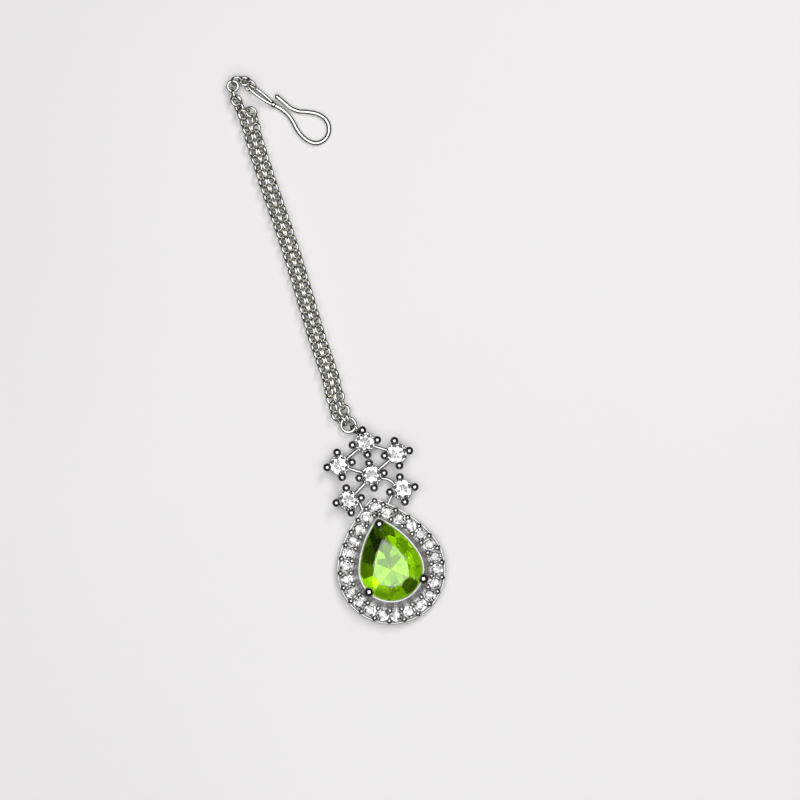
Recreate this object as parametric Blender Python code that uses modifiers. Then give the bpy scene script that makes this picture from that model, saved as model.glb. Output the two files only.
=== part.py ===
"""Maang tikka: a pear gem in a stone halo, a cluster of six settings, a two-strand chain and a hook.

The pendant lies face up with its back on the surface. Its long axis runs along Y with the hook
towards +Y, and Z points up. Everything is in metres, and the empty named tikka_origin moves the
finished model so that the middle of its box's lower face is the world's origin.
"""

import math

import bmesh
import bpy
from mathutils import Matrix, Vector

# Clearances
STONE_GAP = 0.00005
STRAND_SINK = 0.00005

# Halo plate, an outline of one round lobe and two long flanks that meet in a tip
HALO_LOBE_R = 0.00758
HALO_FLANK_R = 0.0200
HALO_HEIGHT = 0.01075
HALO_THICK = 0.0015
HALO_RIM = 0.0004
HALO_INNER_RIM = 0.00015
RIM_BEVEL = 0.0002
HALO_STONE_D = 0.0020
HALO_STONE_SPACE = 0.0002
GIRDLE_SINK = 0.00005

# Round cut stones, as shares of their radius
TABLE_SHARE = 0.58
CROWN_SHARE = 0.32
PAVILION_SHARE = 0.84

# Pear gem and the gallery that carries it
GEM_LOBE_R = 0.00505
GEM_FLANK_R = 0.0150
GEM_TIP_SPACE = 0.00225
GEM_HEIGHT = HALO_HEIGHT - GEM_TIP_SPACE
GEM_GIRDLE_Z = 0.0037
GEM_GIRDLE_T = 0.00015
GEM_CROWN = 0.0014
GEM_PAVILION = 0.0032
GEM_TABLE = 0.55
GEM_CROWN_ROW = (0.60, 0.80)
GEM_PAVILION_ROW = (0.62, 0.42)
GEM_CULET = 0.04
GALLERY_WALL = 0.00055
GALLERY_LIP = 0.00033
GALLERY_LEDGE = 0.00035
GEM_PRONG_D = 0.00150
GEM_STEM_D = 0.00085
GEM_PRONG_DROP = math.radians(31.0)
GEM_BALL_RISE = 0.50
GEM_BALL_OUT = 0.30
GEM_FOOT_SHARE = 0.80

# Cluster of six settings
CLUSTER_STONE_D = 0.00325
CLUSTER_PITCH = 0.0056
CLUSTER_SHIFT = 0.0008
CLUSTER_RISE = 0.0052
CLUSTER_TURN = math.radians(3.2)
CUP_HEIGHT = 0.0017
CUP_WALL = 0.0002
CUP_FOOT_D = 0.0019
CUP_FOOT_WALL = 0.00032
CUP_SEAT_GAP = 0.00008
CUP_GIRDLE_RISE = 0.0002
PRONG_BALL_D = 0.0012
PRONG_STEM_D = 0.0006
PRONG_BALL_RISE = 0.42
PRONG_FOOT_OUT = 0.00009
BALL_WAIST = 0.20
BAR_D = 0.00042
BAR_Z = 0.0008
BAR_BOW = 0.0006
BAR_BOW_STEPS = 6
HALO_BAR_REACH = 0.0015

# Chain, rings and bail
CHAIN_WIRE_D = 0.00040
LINK_PITCH = 0.00131
LINK_ROLL = math.radians(50.0)
TWIST_LINKS = 5
LEFT_TWISTS = (math.radians(-9.2), math.radians(-89.2))
RIGHT_TWISTS = (math.radians(35.3), math.radians(20.0))
BAIL_WIRE_D = 0.00042
BAIL_RING_D = 0.00190
JUMP_WIRE_D = 0.00050
JUMP_RING_D = 0.00290
HOOK_RING_WIRE_D = 0.00040
HOOK_RING_D = 0.00244

# Hook
HOOK_WIRE_D = 0.00063
EYE_WIRE_D = 0.00050
EYE_TILT = math.radians(39.4)
EYE_WIDTH = 0.00174
COLLAR_D = 0.00095
HOOK_TIP_D = 0.00066
EYE_NARROW = 0.70
EYE_SPREAD = 0.40
EYE_STEPS = 12

# Number of sides, and steps round each outline's lobe and along each flank
OUTLINE_STEPS = (16, 6)
LINK_SIDES = 10
WIRE_SIDES = 5
STONE_SIDES = 8
BALL_SIDES = 6
OUTLINE_TOUCH = math.radians(29.0)
OUTLINE_TIP_HALF = math.radians(4.0)
SHARP_ANGLE = math.radians(40.0)

# Cluster places: name, angle from the cluster's own right-hand axis, and share of the pitch
CLUSTER_PLACES = (
    ("cluster_stone_1", 90.0, 1.0),
    ("cluster_stone_2", 30.0, 1.0),
    ("cluster_stone_3", 150.0, 1.0),
    ("cluster_stone_4", 0.0, 0.0),
    ("cluster_stone_5", -36.0, 1.0),
    ("cluster_stone_6", -144.0, 1.0),
)

# Bars from cup to cup: first cup, second cup, share of the full bow
CLUSTER_BARS = ((1, 2, 0.0), (1, 3, 0.0), (3, 4, 0.0), (2, 4, 0.0), (4, 5, 1.0), (4, 6, 0.0))

# The chain's route as it lies, in millimetres from the middle of the bail, with its height above
# the surface. The left strand carries on alone at the top and bends over to the hook.
LEFT_ROUTE = (
    (-1.69, 1.86, 0.90), (-2.41, 2.95, 0.87), (-2.58, 4.92, 0.86), (-2.60, 7.02, 0.86),
    (-2.51, 9.57, 0.86), (-2.98, 16.27, 0.86), (-3.21, 22.93, 0.86), (-3.41, 29.05, 0.86),
    (-3.79, 35.75, 0.86), (-4.31, 42.47, 0.86), (-4.67, 49.17, 0.86), (-4.79, 53.52, 0.86),
    (-5.08, 57.12, 0.92), (-5.45, 59.12, 0.95), (-5.33, 60.47, 1.15), (-4.56, 61.40, 1.36),
    (-3.03, 60.99, 1.27),
)
RIGHT_ROUTE = (
    (-0.63, 2.14, 1.07), (-0.85, 3.43, 1.00), (-0.95, 4.90, 0.91), (-0.96, 7.02, 0.86),
    (-0.89, 9.57, 0.86), (-1.36, 16.27, 0.86), (-1.59, 22.93, 0.86), (-1.79, 29.05, 0.86),
    (-2.17, 35.75, 0.86), (-2.69, 42.47, 0.86), (-3.04, 48.52, 0.86), (-3.13, 52.72, 0.86),
    (-2.95, 54.60, 0.98), (-3.28, 55.72, 1.18), (-4.39, 56.41, 1.27),
)

# The hook's route from its collar to its free end, and the far end of its eye, likewise
SHANK_ROUTE = (
    (0.64, 56.08, 0.62), (1.74, 55.02, 0.40), (2.62, 53.75, 0.32), (3.11, 52.33, 0.32),
    (3.53, 50.67, 0.32), (4.34, 49.16, 0.32), (5.46, 48.18, 0.32), (6.61, 47.96, 0.32),
    (7.77, 48.44, 0.32), (8.48, 49.37, 0.32), (8.69, 50.61, 0.32), (8.24, 51.85, 0.32),
    (7.20, 52.81, 0.32), (5.82, 53.46, 0.32), (4.40, 53.97, 0.33), (3.25, 54.83, 0.48),
    (2.36, 56.06, 0.70), (1.57, 57.16, 0.90),
)
EYE_END = (-2.65, 60.16, 1.10)

# Rings: middle in millimetres likewise, heading in degrees and roll about it in degrees
JUMP_PLACE = ((-0.820, 0.903, 0.989), -40.2, -0.5)
HOOK_RING_PLACE = ((-2.329, 60.057, 1.247), 131.6, 131.2)
BAIL_HEADING = 117.0
BAIL_ROLL = -60.8
BAIL_OFFSET = (-1.086, 2.690, 1.068)
MILLIMETRE = 0.001


def clear_scene():
    """Remove every object that the file opened with."""
    for obj in list(bpy.data.objects):
        bpy.data.objects.remove(obj, do_unlink=True)


def make_material(name, colour, roughness, metallic, alpha=1.0):
    """Return one Principled material."""
    material = bpy.data.materials.new(name)
    material.use_nodes = True
    shader = material.node_tree.nodes["Principled BSDF"]
    shader.inputs["Base Color"].default_value = (*colour, 1.0)
    shader.inputs["Roughness"].default_value = roughness
    shader.inputs["Metallic"].default_value = metallic
    shader.inputs["Alpha"].default_value = alpha
    material.diffuse_color = (*colour, 1.0)
    return material


def add_object(name, data, collection):
    """Link a new object into a collection."""
    obj = bpy.data.objects.new(name, data)
    collection.objects.link(obj)
    return obj


def plain_mesh(obj):
    """Return the evaluated shape of an object as a plain closed mesh and drop the object."""
    bpy.context.view_layer.update()
    graph = bpy.context.evaluated_depsgraph_get()
    mesh = bpy.data.meshes.new_from_object(obj.evaluated_get(graph))
    mesh.transform(obj.matrix_world)
    bm = bmesh.new()
    bm.from_mesh(mesh)
    bmesh.ops.remove_doubles(bm, verts=bm.verts, dist=1e-7)
    bmesh.ops.recalc_face_normals(bm, faces=bm.faces)
    bm.to_mesh(mesh)
    bm.free()
    bpy.data.objects.remove(obj, do_unlink=True)
    return mesh


def turned(profile, sides):
    """Turn a profile of (radius, height) points about Z, listed down its outer side."""
    mesh = bpy.data.meshes.new("profile")
    edges = [(i, i + 1) for i in range(len(profile) - 1)]
    if profile[0][0] > 0.0:
        edges.append((len(profile) - 1, 0))
    mesh.from_pydata([(r, 0.0, z) for r, z in profile], edges, [])
    obj = add_object("profile", mesh, bpy.context.scene.collection)
    screw = obj.modifiers.new("Turn", "SCREW")
    screw.steps = sides
    screw.render_steps = sides
    screw.use_merge_vertices = True
    screw.merge_threshold = 1e-6
    return plain_mesh(obj)


def wire(points, diameter, cyclic=False):
    """Return a round wire through the points, with filled ends or closed on itself."""
    curve = bpy.data.curves.new("wire", "CURVE")
    curve.dimensions = "3D"
    curve.bevel_depth = diameter / 2
    curve.bevel_resolution = 1
    curve.use_fill_caps = not cyclic
    spline = curve.splines.new("POLY")
    spline.use_cyclic_u = cyclic
    spline.points.add(len(points) - 1)
    for point, place in zip(spline.points, points):
        point.co = (*place, 1.0)
    return plain_mesh(add_object("wire", curve, bpy.context.scene.collection))


def ring(ring_r, wire_r, sides=LINK_SIDES, wire_sides=WIRE_SIDES):
    """Return a round link that lies in the XY plane."""
    bpy.ops.mesh.primitive_torus_add(
        major_radius=ring_r, minor_radius=wire_r,
        major_segments=sides, minor_segments=wire_sides)
    return plain_mesh(bpy.context.object)


def stamped(mesh, places):
    """Return one mesh with a copy of the given mesh at each placing matrix."""
    bm = bmesh.new()
    for place in places:
        piece = mesh.copy()
        piece.transform(place)
        bm.from_mesh(piece)
        bpy.data.meshes.remove(piece)
    merged = bpy.data.meshes.new("stamped")
    bm.to_mesh(merged)
    bm.free()
    return merged


def joined(meshes):
    """Return meshes that do not touch each other as one mesh."""
    bm = bmesh.new()
    for mesh in meshes:
        bm.from_mesh(mesh)
    merged = bpy.data.meshes.new("joined")
    bm.to_mesh(merged)
    bm.free()
    return merged


def boolean(body, tool, operation):
    """Return the union or difference of two meshes."""
    scene = bpy.context.scene.collection
    first = add_object("body", body, scene)
    second = add_object("tool", tool, scene)
    modifier = first.modifiers.new("Combine", "BOOLEAN")
    modifier.operation = operation
    modifier.solver = "EXACT"
    modifier.object = second
    result = plain_mesh(first)
    bpy.data.objects.remove(second, do_unlink=True)
    return result


def loft(sections):
    """Skin closed rings of points, each to the next, and the last one back to the first."""
    bm = bmesh.new()
    rings = [[bm.verts.new(point) for point in section] for section in sections]
    count = len(rings[0])
    for lower, upper in zip(rings, rings[1:] + rings[:1]):
        for i in range(count):
            after = (i + 1) % count
            bm.faces.new((lower[i], lower[after], upper[after], upper[i]))
    bmesh.ops.recalc_face_normals(bm, faces=bm.faces)
    mesh = bpy.data.meshes.new("loft")
    bm.to_mesh(mesh)
    bm.free()
    return mesh


def capped_loft(sections):
    """Skin rings of points from bottom to top and close both ends."""
    bm = bmesh.new()
    rings = [[bm.verts.new(point) for point in section] for section in sections]
    count = len(rings[0])
    for lower, upper in zip(rings, rings[1:]):
        for i in range(count):
            after = (i + 1) % count
            bm.faces.new((lower[i], lower[after], upper[after], upper[i]))
    bm.faces.new(rings[-1])
    bm.faces.new(tuple(reversed(rings[0])))
    bmesh.ops.recalc_face_normals(bm, faces=bm.faces)
    mesh = bpy.data.meshes.new("capped_loft")
    bm.to_mesh(mesh)
    bm.free()
    return mesh


def teardrop_reach(angle, lobe_r, flank_r, height, offset):
    """Distance from the lobe's centre to a teardrop outline, grown by an offset, at an angle.

    The outline is an arc of lobe_r, then on each side an arc of flank_r that touches it and
    runs to the tip, height above the lobe's centre.
    """
    x, y = abs(math.cos(angle)), math.sin(angle)
    gap = flank_r - lobe_r
    slope = (flank_r ** 2 - gap ** 2 - height ** 2) / (2 * height * gap)
    touch = math.asin(slope)
    centre = Vector((-gap * math.cos(touch), -gap * slope))
    if math.atan2(y, x) <= touch:
        return lobe_r + offset
    along = x * centre.x + y * centre.y
    reach = along + math.sqrt(along ** 2 - centre.length_squared + (flank_r + offset) ** 2)
    tip = Vector((0.0, height))
    end = tip + (tip - centre).normalized() * max(offset, 0.0)
    if offset > 0.0 and math.atan2(y, x) > math.atan2(end.y, end.x):
        along = y * height
        reach = along + math.sqrt(max(along ** 2 - height ** 2 + offset ** 2, 0.0))
    return reach


def outline_angles(lobe_steps, flank_steps):
    """Angles, seen from the lobe's centre, at which every teardrop outline is sampled."""
    touch = OUTLINE_TOUCH
    sweep = math.pi / 2 - touch - OUTLINE_TIP_HALF
    lobe = [touch - (math.pi + 2 * touch) * i / lobe_steps for i in range(lobe_steps + 1)]
    flank = [math.pi - touch - sweep * i / flank_steps for i in range(1, flank_steps + 1)]
    mirrored = [math.pi - angle for angle in reversed(flank)]
    return lobe + [angle - 2 * math.pi for angle in flank + [math.pi / 2] + mirrored]


def halo_ring(offset, z, angles):
    """Points of the halo's outline at an offset from the stone line."""
    points = []
    for angle in angles:
        reach = teardrop_reach(angle, HALO_LOBE_R, HALO_FLANK_R, HALO_HEIGHT, offset)
        points.append(Vector((reach * math.cos(angle), reach * math.sin(angle) - HALO_HEIGHT, z)))
    return points


def gem_ring(offset, z, angles, scale=1.0):
    """Points of the gem's outline at an offset from its girdle, scaled about the lobe's centre."""
    points = []
    for angle in angles:
        reach = teardrop_reach(angle, GEM_LOBE_R, GEM_FLANK_R, GEM_HEIGHT, offset) * scale
        points.append(Vector((reach * math.cos(angle), reach * math.sin(angle) - HALO_HEIGHT, z)))
    return points


def halo_places():
    """Matrices of the halo's stones at equal steps along the stone line, first at the tip.

    Each has X along the line and Y outwards. The number of stones follows from their size.
    """
    steps = 1440
    angles = [math.pi / 2 - 2 * math.pi * i / steps for i in range(steps)]
    line = halo_ring(0.0, HALO_THICK - GIRDLE_SINK, angles)
    line.append(line[0].copy())
    lengths = [0.0]
    for before, after in zip(line, line[1:]):
        lengths.append(lengths[-1] + (after - before).length)
    count = int(lengths[-1] / (HALO_STONE_D + HALO_STONE_SPACE))

    def at(length):
        length = length % lengths[-1]
        i = next(k for k in range(steps) if lengths[k + 1] >= length)
        share = (length - lengths[i]) / (lengths[i + 1] - lengths[i])
        return line[i].lerp(line[i + 1], share)

    def frame(length):
        reach = HALO_STONE_D / 2
        along = (at(length + reach) - at(length - reach)).normalized()
        out = Vector((-along.y, along.x, 0.0))
        turn = Matrix((along, out, Vector((0.0, 0.0, 1.0)))).transposed()
        return Matrix.Translation(at(length)) @ turn.to_4x4()

    step = lengths[-1] / count
    return [frame(step * i) for i in range(count)]


def cluster_places():
    """Matrices of the six settings on the surface, with Y along the cluster's own axis."""
    middle = Vector((CLUSTER_SHIFT, CLUSTER_RISE, 0.0))
    turn = Matrix.Rotation(-CLUSTER_TURN, 4, "Z")
    places = []
    for _, degrees, share in CLUSTER_PLACES:
        angle = math.radians(degrees)
        away = Vector((math.cos(angle), math.sin(angle), 0.0)) * CLUSTER_PITCH * share
        places.append(Matrix.Translation(middle) @ turn @ Matrix.Translation(away))
    return places


def flat_turn():
    """Turn that lays a flat side of an eight-sided stone towards its prongs."""
    return Matrix.Rotation(math.pi / STONE_SIDES, 4, "Z")


def round_stone(diameter):
    """Round cut stone with its girdle at height 0: a table, eight crown facets and a point."""
    radius = diameter / 2
    profile = [(0.0, radius * CROWN_SHARE), (radius * TABLE_SHARE, radius * CROWN_SHARE),
               (radius, 0.0), (0.0, -radius * PAVILION_SHARE)]
    return turned(profile, STONE_SIDES)


def seat_cone(diameter):
    """Cutter for a conical seat that clears a round stone with its girdle at height 0."""
    slope = PAVILION_SHARE
    drop = diameter / 2 * slope + STONE_GAP * math.hypot(1.0, slope)
    rise = 2 * GIRDLE_SINK
    return turned([(0.0, rise), ((drop + rise) / slope, rise), (0.0, -drop)], STONE_SIDES)


def ball_prong(foot, top, ball_d, stem_d, sides):
    """Stem from foot to top with a ball, widest at BALL_WAIST over its middle, on its end."""
    rise = top - foot
    ball = ball_d / 2
    stem = stem_d / 2
    length = rise.length
    profile = [(0.0, length + ball), (ball, length + ball * BALL_WAIST), (stem, length - ball),
               (stem, 0.0), (0.0, 0.0)]
    mesh = turned(profile, sides)
    mesh.transform(Matrix.Translation(foot) @ rise.to_track_quat("Z", "X").to_matrix().to_4x4())
    return mesh


def halo_plate():
    """Halo plate and gem gallery as one ring, before the seats are cut."""
    angles = outline_angles(*OUTLINE_STEPS)
    stone_r = HALO_STONE_D / 2
    outer = stone_r + HALO_RIM
    inner = -(stone_r + HALO_INNER_RIM)
    lip_z = GEM_GIRDLE_Z + GEM_GIRDLE_T / 2
    ledge_z = GEM_GIRDLE_Z - GEM_PAVILION * GALLERY_LEDGE / GEM_LOBE_R - 2 * STONE_GAP
    sections = [
        halo_ring(outer, 0.0, angles),
        halo_ring(outer, HALO_THICK - RIM_BEVEL, angles),
        halo_ring(outer - RIM_BEVEL, HALO_THICK, angles),
        halo_ring(inner, HALO_THICK, angles),
        gem_ring(STONE_GAP + GALLERY_LIP, lip_z, angles),
        gem_ring(STONE_GAP, lip_z, angles),
        gem_ring(STONE_GAP, GEM_GIRDLE_Z - GEM_GIRDLE_T / 2 - STONE_GAP, angles),
        gem_ring(STONE_GAP, ledge_z, angles, 1.0 - GALLERY_LEDGE / GEM_LOBE_R),
        halo_ring(inner - GALLERY_WALL, HALO_THICK - GALLERY_WALL, angles),
        halo_ring(inner - GALLERY_WALL, 0.0, angles),
    ]
    return loft(sections)


def center_gem():
    """Pear-cut gem: table, star and main crown rows, girdle and two pavilion rows."""
    facets = outline_angles(*OUTLINE_STEPS)[1::2]
    half = GEM_GIRDLE_T / 2
    top = GEM_GIRDLE_Z + half
    low = GEM_GIRDLE_Z - half
    crown_rise, crown_scale = GEM_CROWN_ROW
    pavilion_drop, pavilion_scale = GEM_PAVILION_ROW
    sections = [
        gem_ring(0.0, low - GEM_PAVILION, facets, GEM_CULET),
        gem_ring(0.0, low - GEM_PAVILION * pavilion_drop, facets, pavilion_scale),
        gem_ring(0.0, low, facets),
        gem_ring(0.0, top, facets),
        gem_ring(0.0, top + GEM_CROWN * crown_rise, facets, crown_scale),
        gem_ring(0.0, top + GEM_CROWN, facets, GEM_TABLE),
    ]
    return capped_loft(sections)


def gem_prongs():
    """Three ball prongs on the gallery: one at the tip and one low on each side of the lobe."""
    ball_z = GEM_GIRDLE_Z + GEM_PRONG_D * GEM_BALL_RISE
    middle = Vector((0.0, -HALO_HEIGHT, 0.0))
    meshes = []
    for angle in (math.pi / 2, -GEM_PRONG_DROP, math.pi + GEM_PRONG_DROP):
        way = Vector((math.cos(angle), math.sin(angle), 0.0))
        edge = teardrop_reach(angle, GEM_LOBE_R, GEM_FLANK_R, GEM_HEIGHT, 0.0)
        top = middle + way * (edge + GEM_PRONG_D * GEM_BALL_OUT)
        foot = middle + way * (edge + GEM_STEM_D)
        top.z = ball_z
        foot.z = HALO_THICK * GEM_FOOT_SHARE
        meshes.append(ball_prong(foot, top, GEM_PRONG_D, GEM_STEM_D, BALL_SIDES))
    return joined(meshes)


def cup():
    """Conical cup of one round stone, open at the back."""
    stone_r = CLUSTER_STONE_D / 2
    girdle = cup_girdle()
    seat_r = stone_r - (girdle - CUP_HEIGHT) / PAVILION_SHARE + CUP_SEAT_GAP
    foot_r = CUP_FOOT_D / 2
    profile = [(seat_r + CUP_WALL, CUP_HEIGHT), (foot_r, 0.0),
               (foot_r - CUP_FOOT_WALL, 0.0), (seat_r, CUP_HEIGHT)]
    mesh = turned(profile, STONE_SIDES)
    mesh.transform(flat_turn())
    return mesh


def cup_girdle():
    """Height of a cluster stone's girdle above the surface."""
    return CUP_HEIGHT + CUP_GIRDLE_RISE


def cluster_prongs(places):
    """Four ball prongs round each cluster stone."""
    stone_r = CLUSTER_STONE_D / 2
    ball = PRONG_BALL_D / 2
    flat = stone_r * math.cos(math.pi / STONE_SIDES)
    out = flat + ball
    top = Vector((out, 0.0, cup_girdle() + (ball + STONE_GAP) * PRONG_BALL_RISE))
    foot = Vector((CUP_FOOT_D / 2 + PRONG_FOOT_OUT, 0.0, PRONG_STEM_D / 2))
    prong = ball_prong(foot, top, PRONG_BALL_D, PRONG_STEM_D, BALL_SIDES)
    turns = [Matrix.Rotation(math.radians(90 * k), 4, "Z") for k in range(4)]
    return stamped(prong, [place @ turn for place in places for turn in turns])


def cluster_bars(places):
    """Thin bars between the cups; they end inside the cup walls."""
    cup_r = CUP_FOOT_D / 2 + (CLUSTER_STONE_D / 2 - CUP_FOOT_D / 2) * BAR_Z / CUP_HEIGHT
    meshes = []
    for first, second, bow in CLUSTER_BARS:
        start = places[first - 1].translation.copy()
        end = places[second - 1].translation.copy()
        way = (end - start).normalized()
        start += way * (cup_r - BAR_D / 2)
        end -= way * (cup_r - BAR_D / 2)
        side = Vector((-way.y, way.x, 0.0)) * BAR_BOW * bow
        steps = BAR_BOW_STEPS if bow else 1
        points = []
        for i in range(steps + 1):
            share = i / steps
            point = start.lerp(end, share) + side * math.sin(math.pi * share)
            points.append((point.x, point.y, BAR_Z))
        meshes.append(wire(points, BAR_D))
    return joined(meshes)


def halo_bars(places, stones):
    """Two bars from the lower cups' inner prongs to the halo's outer edge beside the tip stone."""
    reach = HALO_STONE_D / 2 + HALO_RIM - BAR_D
    meshes = []
    for place, side, stone in ((places[4], -1.0, stones[1]), (places[5], 1.0, stones[-1])):
        start = place @ Vector((side * HALO_BAR_REACH, 0.0, BAR_Z))
        end = stone @ Vector((0.0, reach, 0.0))
        meshes.append(wire([tuple(start), (end.x, end.y, BAR_Z)], BAR_D))
    return joined(meshes)


def ring_matrix(centre, way, roll):
    """Placing of a ring whose plane holds the way and is rolled about it, 0 lying flat."""
    x = way.normalized()
    flat = Vector((0.0, 0.0, 1.0)).cross(x).normalized()
    up = x.cross(flat)
    y = flat * math.cos(roll) + up * math.sin(roll)
    turn = Matrix((x, y, x.cross(y))).transposed()
    return Matrix.Translation(centre) @ turn.to_4x4()


def smooth_route(points, origin, steps=12):
    """Dense points of a smooth curve through the chosen ones, in metres from the origin."""
    line = [origin + Vector(point) * MILLIMETRE for point in points]
    line = [line[0] * 2 - line[1]] + line + [line[-1] * 2 - line[-2]]
    dense = []
    for before, start, end, after in zip(line, line[1:], line[2:], line[3:]):
        for i in range(steps):
            t = i / steps
            dense.append(0.5 * (2 * start + (end - before) * t
                                + (2 * before - 5 * start + 4 * end - after) * t ** 2
                                + (3 * start - before - 3 * end + after) * t ** 3))
    dense.append(line[-2])
    return dense


def evenly(dense, pitch):
    """Points at equal steps along a dense line, about one pitch apart."""
    lengths = [0.0]
    for before, after in zip(dense, dense[1:]):
        lengths.append(lengths[-1] + (after - before).length)
    count = max(2, round(lengths[-1] / pitch))
    points = []
    i = 0
    for k in range(count + 1):
        goal = lengths[-1] * k / count
        while i < len(dense) - 2 and lengths[i + 1] < goal:
            i += 1
        share = (goal - lengths[i]) / (lengths[i + 1] - lengths[i])
        points.append(dense[i].lerp(dense[i + 1], share))
    return points, lengths[-1] / count


def strand(route, origin, side, first_twist, last_twist):
    """One chain strand of round links, each turned about a quarter from the next, in one body.

    The side is 1 or -1, so that two strands mirror each other. The twists turn the end links a
    little further, and fade out over TWIST_LINKS links.
    """
    points, step = evenly(smooth_route(route, origin), LINK_PITCH)
    wire_r = CHAIN_WIRE_D / 2
    link_r = (step - STRAND_SINK) / 2 + wire_r * math.cos(math.pi / WIRE_SIDES)
    link = ring(link_r, wire_r)
    places = []
    for i, point in enumerate(points):
        before = points[max(i - 1, 0)]
        after = points[min(i + 1, len(points) - 1)]
        roll = side * (LINK_ROLL if i % 2 else -LINK_ROLL)
        roll += first_twist * max(0.0, 1.0 - i / TWIST_LINKS)
        roll += last_twist * max(0.0, 1.0 - (len(points) - 1 - i) / TWIST_LINKS)
        places.append(ring_matrix(point, after - before, roll))
    return boolean(stamped(link, places[0::2]), stamped(link, places[1::2]), "UNION")


def headed(place, origin):
    """Placing of a ring from its middle, heading and roll."""
    middle, heading, roll = place
    way = Vector((math.cos(math.radians(heading)), math.sin(math.radians(heading)), 0.0))
    return ring_matrix(origin + Vector(middle) * MILLIMETRE, way, math.radians(roll))


def bail_origin(top_cup):
    """Point on the surface under the middle of the bail, from which the chain is placed."""
    spot = top_cup.translation + Vector(BAIL_OFFSET) * MILLIMETRE
    return Vector((spot.x, spot.y, 0.0))


def bail(top_cup):
    """Small ring soldered to the top cup by a short post."""
    origin = bail_origin(top_cup)
    radius = (BAIL_RING_D - BAIL_WIRE_D) / 2
    place = headed(((0.0, 0.0, BAIL_OFFSET[2]), BAIL_HEADING, BAIL_ROLL), origin)
    loop = stamped(ring(radius, BAIL_WIRE_D / 2), [place])
    near = place @ Vector((-radius, 0.0, 0.0))
    away = (top_cup.translation - origin).normalized()
    foot = top_cup.translation - away * (CUP_FOOT_D / 2 + CUP_WALL)
    post = wire([tuple(near), (foot.x, foot.y, BAR_Z)], BAIL_WIRE_D)
    return boolean(loop, post, "UNION")


def pendant_frame(stones, places):
    """All the soldered metal in one solid."""
    plate = halo_plate()
    for extra in (stamped(cup(), places), cluster_bars(places), halo_bars(places, stones),
                  bail(places[0])):
        plate = boolean(plate, extra, "UNION")
    seat = seat_cone(HALO_STONE_D)
    seat.transform(flat_turn())
    plate = boolean(plate, stamped(seat, stones), "DIFFERENCE")
    plate = boolean(plate, gem_prongs(), "UNION")
    return boolean(plate, cluster_prongs(places), "UNION")


def hook(origin):
    """Hair hook: a long tilted eye, a collar, and an open loop of round wire."""
    shank = smooth_route(SHANK_ROUTE, origin, 1)
    start = shank[0]
    far = origin + Vector(EYE_END) * MILLIMETRE
    length = (far - start).length
    wide = (EYE_WIDTH - EYE_WIRE_D) / 2
    place = ring_matrix(start, far - start, EYE_TILT)
    loop = []
    for i in range(EYE_STEPS):
        angle = 2 * math.pi * i / EYE_STEPS
        along = length * (1 - math.cos(angle)) / 2
        across = wide * math.sin(angle) * (EYE_NARROW + EYE_SPREAD * along / length)
        loop.append(tuple(place @ Vector((along, across, 0.0))))
    shank_wire = wire([tuple(point) for point in shank], HOOK_WIRE_D)
    body = boolean(shank_wire, wire(loop, EYE_WIRE_D, True), "UNION")
    for spot, diameter in ((start, COLLAR_D), (shank[-1], HOOK_TIP_D)):
        radius = diameter / 2
        slant = radius * math.sqrt(0.5)
        ball = turned([(0.0, radius), (slant, slant), (radius, 0.0), (slant, -slant),
                       (0.0, -radius)], BALL_SIDES)
        ball.transform(Matrix.Translation(spot))
        body = boolean(body, ball, "UNION")
    return body


def loose_ring(diameter, wire_d, sides, place, origin):
    """One loose ring of round wire."""
    return stamped(ring((diameter - wire_d) / 2, wire_d / 2, sides), [headed(place, origin)])


def shade(mesh):
    """Shade round pieces smooth and keep their real edges sharp."""
    mesh.shade_smooth()
    mesh.set_sharp_from_angle(angle=SHARP_ANGLE)


def build():
    """Build every piece, then stand the model on the world's origin."""
    clear_scene()
    parts = bpy.data.collections.new("maang_tikka")
    bpy.context.scene.collection.children.link(parts)
    metal = (0.86, 0.86, 0.87)
    clear = (0.93, 0.95, 0.96)
    green = (0.22, 0.50, 0.02)
    stones = halo_places()
    places = cluster_places()
    pieces = [("pendant_frame", pendant_frame(stones, places), metal, 0.12, 1.0, 1.0)]
    pieces.append(("center_gem", center_gem(), green, 0.03, 0.0, 0.8))
    small = round_stone(HALO_STONE_D)
    small.transform(flat_turn())
    for number, place in enumerate(stones, 1):
        pieces.append((f"halo_stone_{number:02d}", stamped(small, [place]), clear, 0.03, 0.0, 0.7))
    large = round_stone(CLUSTER_STONE_D)
    large.transform(Matrix.Translation((0.0, 0.0, cup_girdle())) @ flat_turn())
    for row, place in zip(CLUSTER_PLACES, places):
        pieces.append((row[0], stamped(large, [place]), clear, 0.03, 0.0, 0.7))
    origin = bail_origin(places[0])
    jump = loose_ring(JUMP_RING_D, JUMP_WIRE_D, 12, JUMP_PLACE, origin)
    upper = loose_ring(HOOK_RING_D, HOOK_RING_WIRE_D, 12, HOOK_RING_PLACE, origin)
    for name, mesh in (("chain_left", strand(LEFT_ROUTE, origin, 1, *LEFT_TWISTS)),
                       ("chain_right", strand(RIGHT_ROUTE, origin, -1, *RIGHT_TWISTS)),
                       ("jump_ring", jump), ("hook_ring", upper), ("hook", hook(origin))):
        pieces.append((name, mesh, metal, 0.12, 1.0, 1.0))

    stand = add_object("tikka_origin", None, parts)
    corners = []
    for name, mesh, colour, roughness, metallic, alpha in pieces:
        obj = add_object(name, mesh, parts)
        obj.parent = stand
        mesh.materials.clear()
        mesh.materials.append(make_material(name, colour, roughness, metallic, alpha))
        if metallic:
            shade(mesh)
        corners.extend(vertex.co.copy() for vertex in mesh.vertices)
    low = Vector(min(c[axis] for c in corners) for axis in range(3))
    high = Vector(max(c[axis] for c in corners) for axis in range(3))
    stand.location = (-(low.x + high.x) / 2, -(low.y + high.y) / 2, -low.z)
    bpy.context.view_layer.update()


build()
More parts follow.
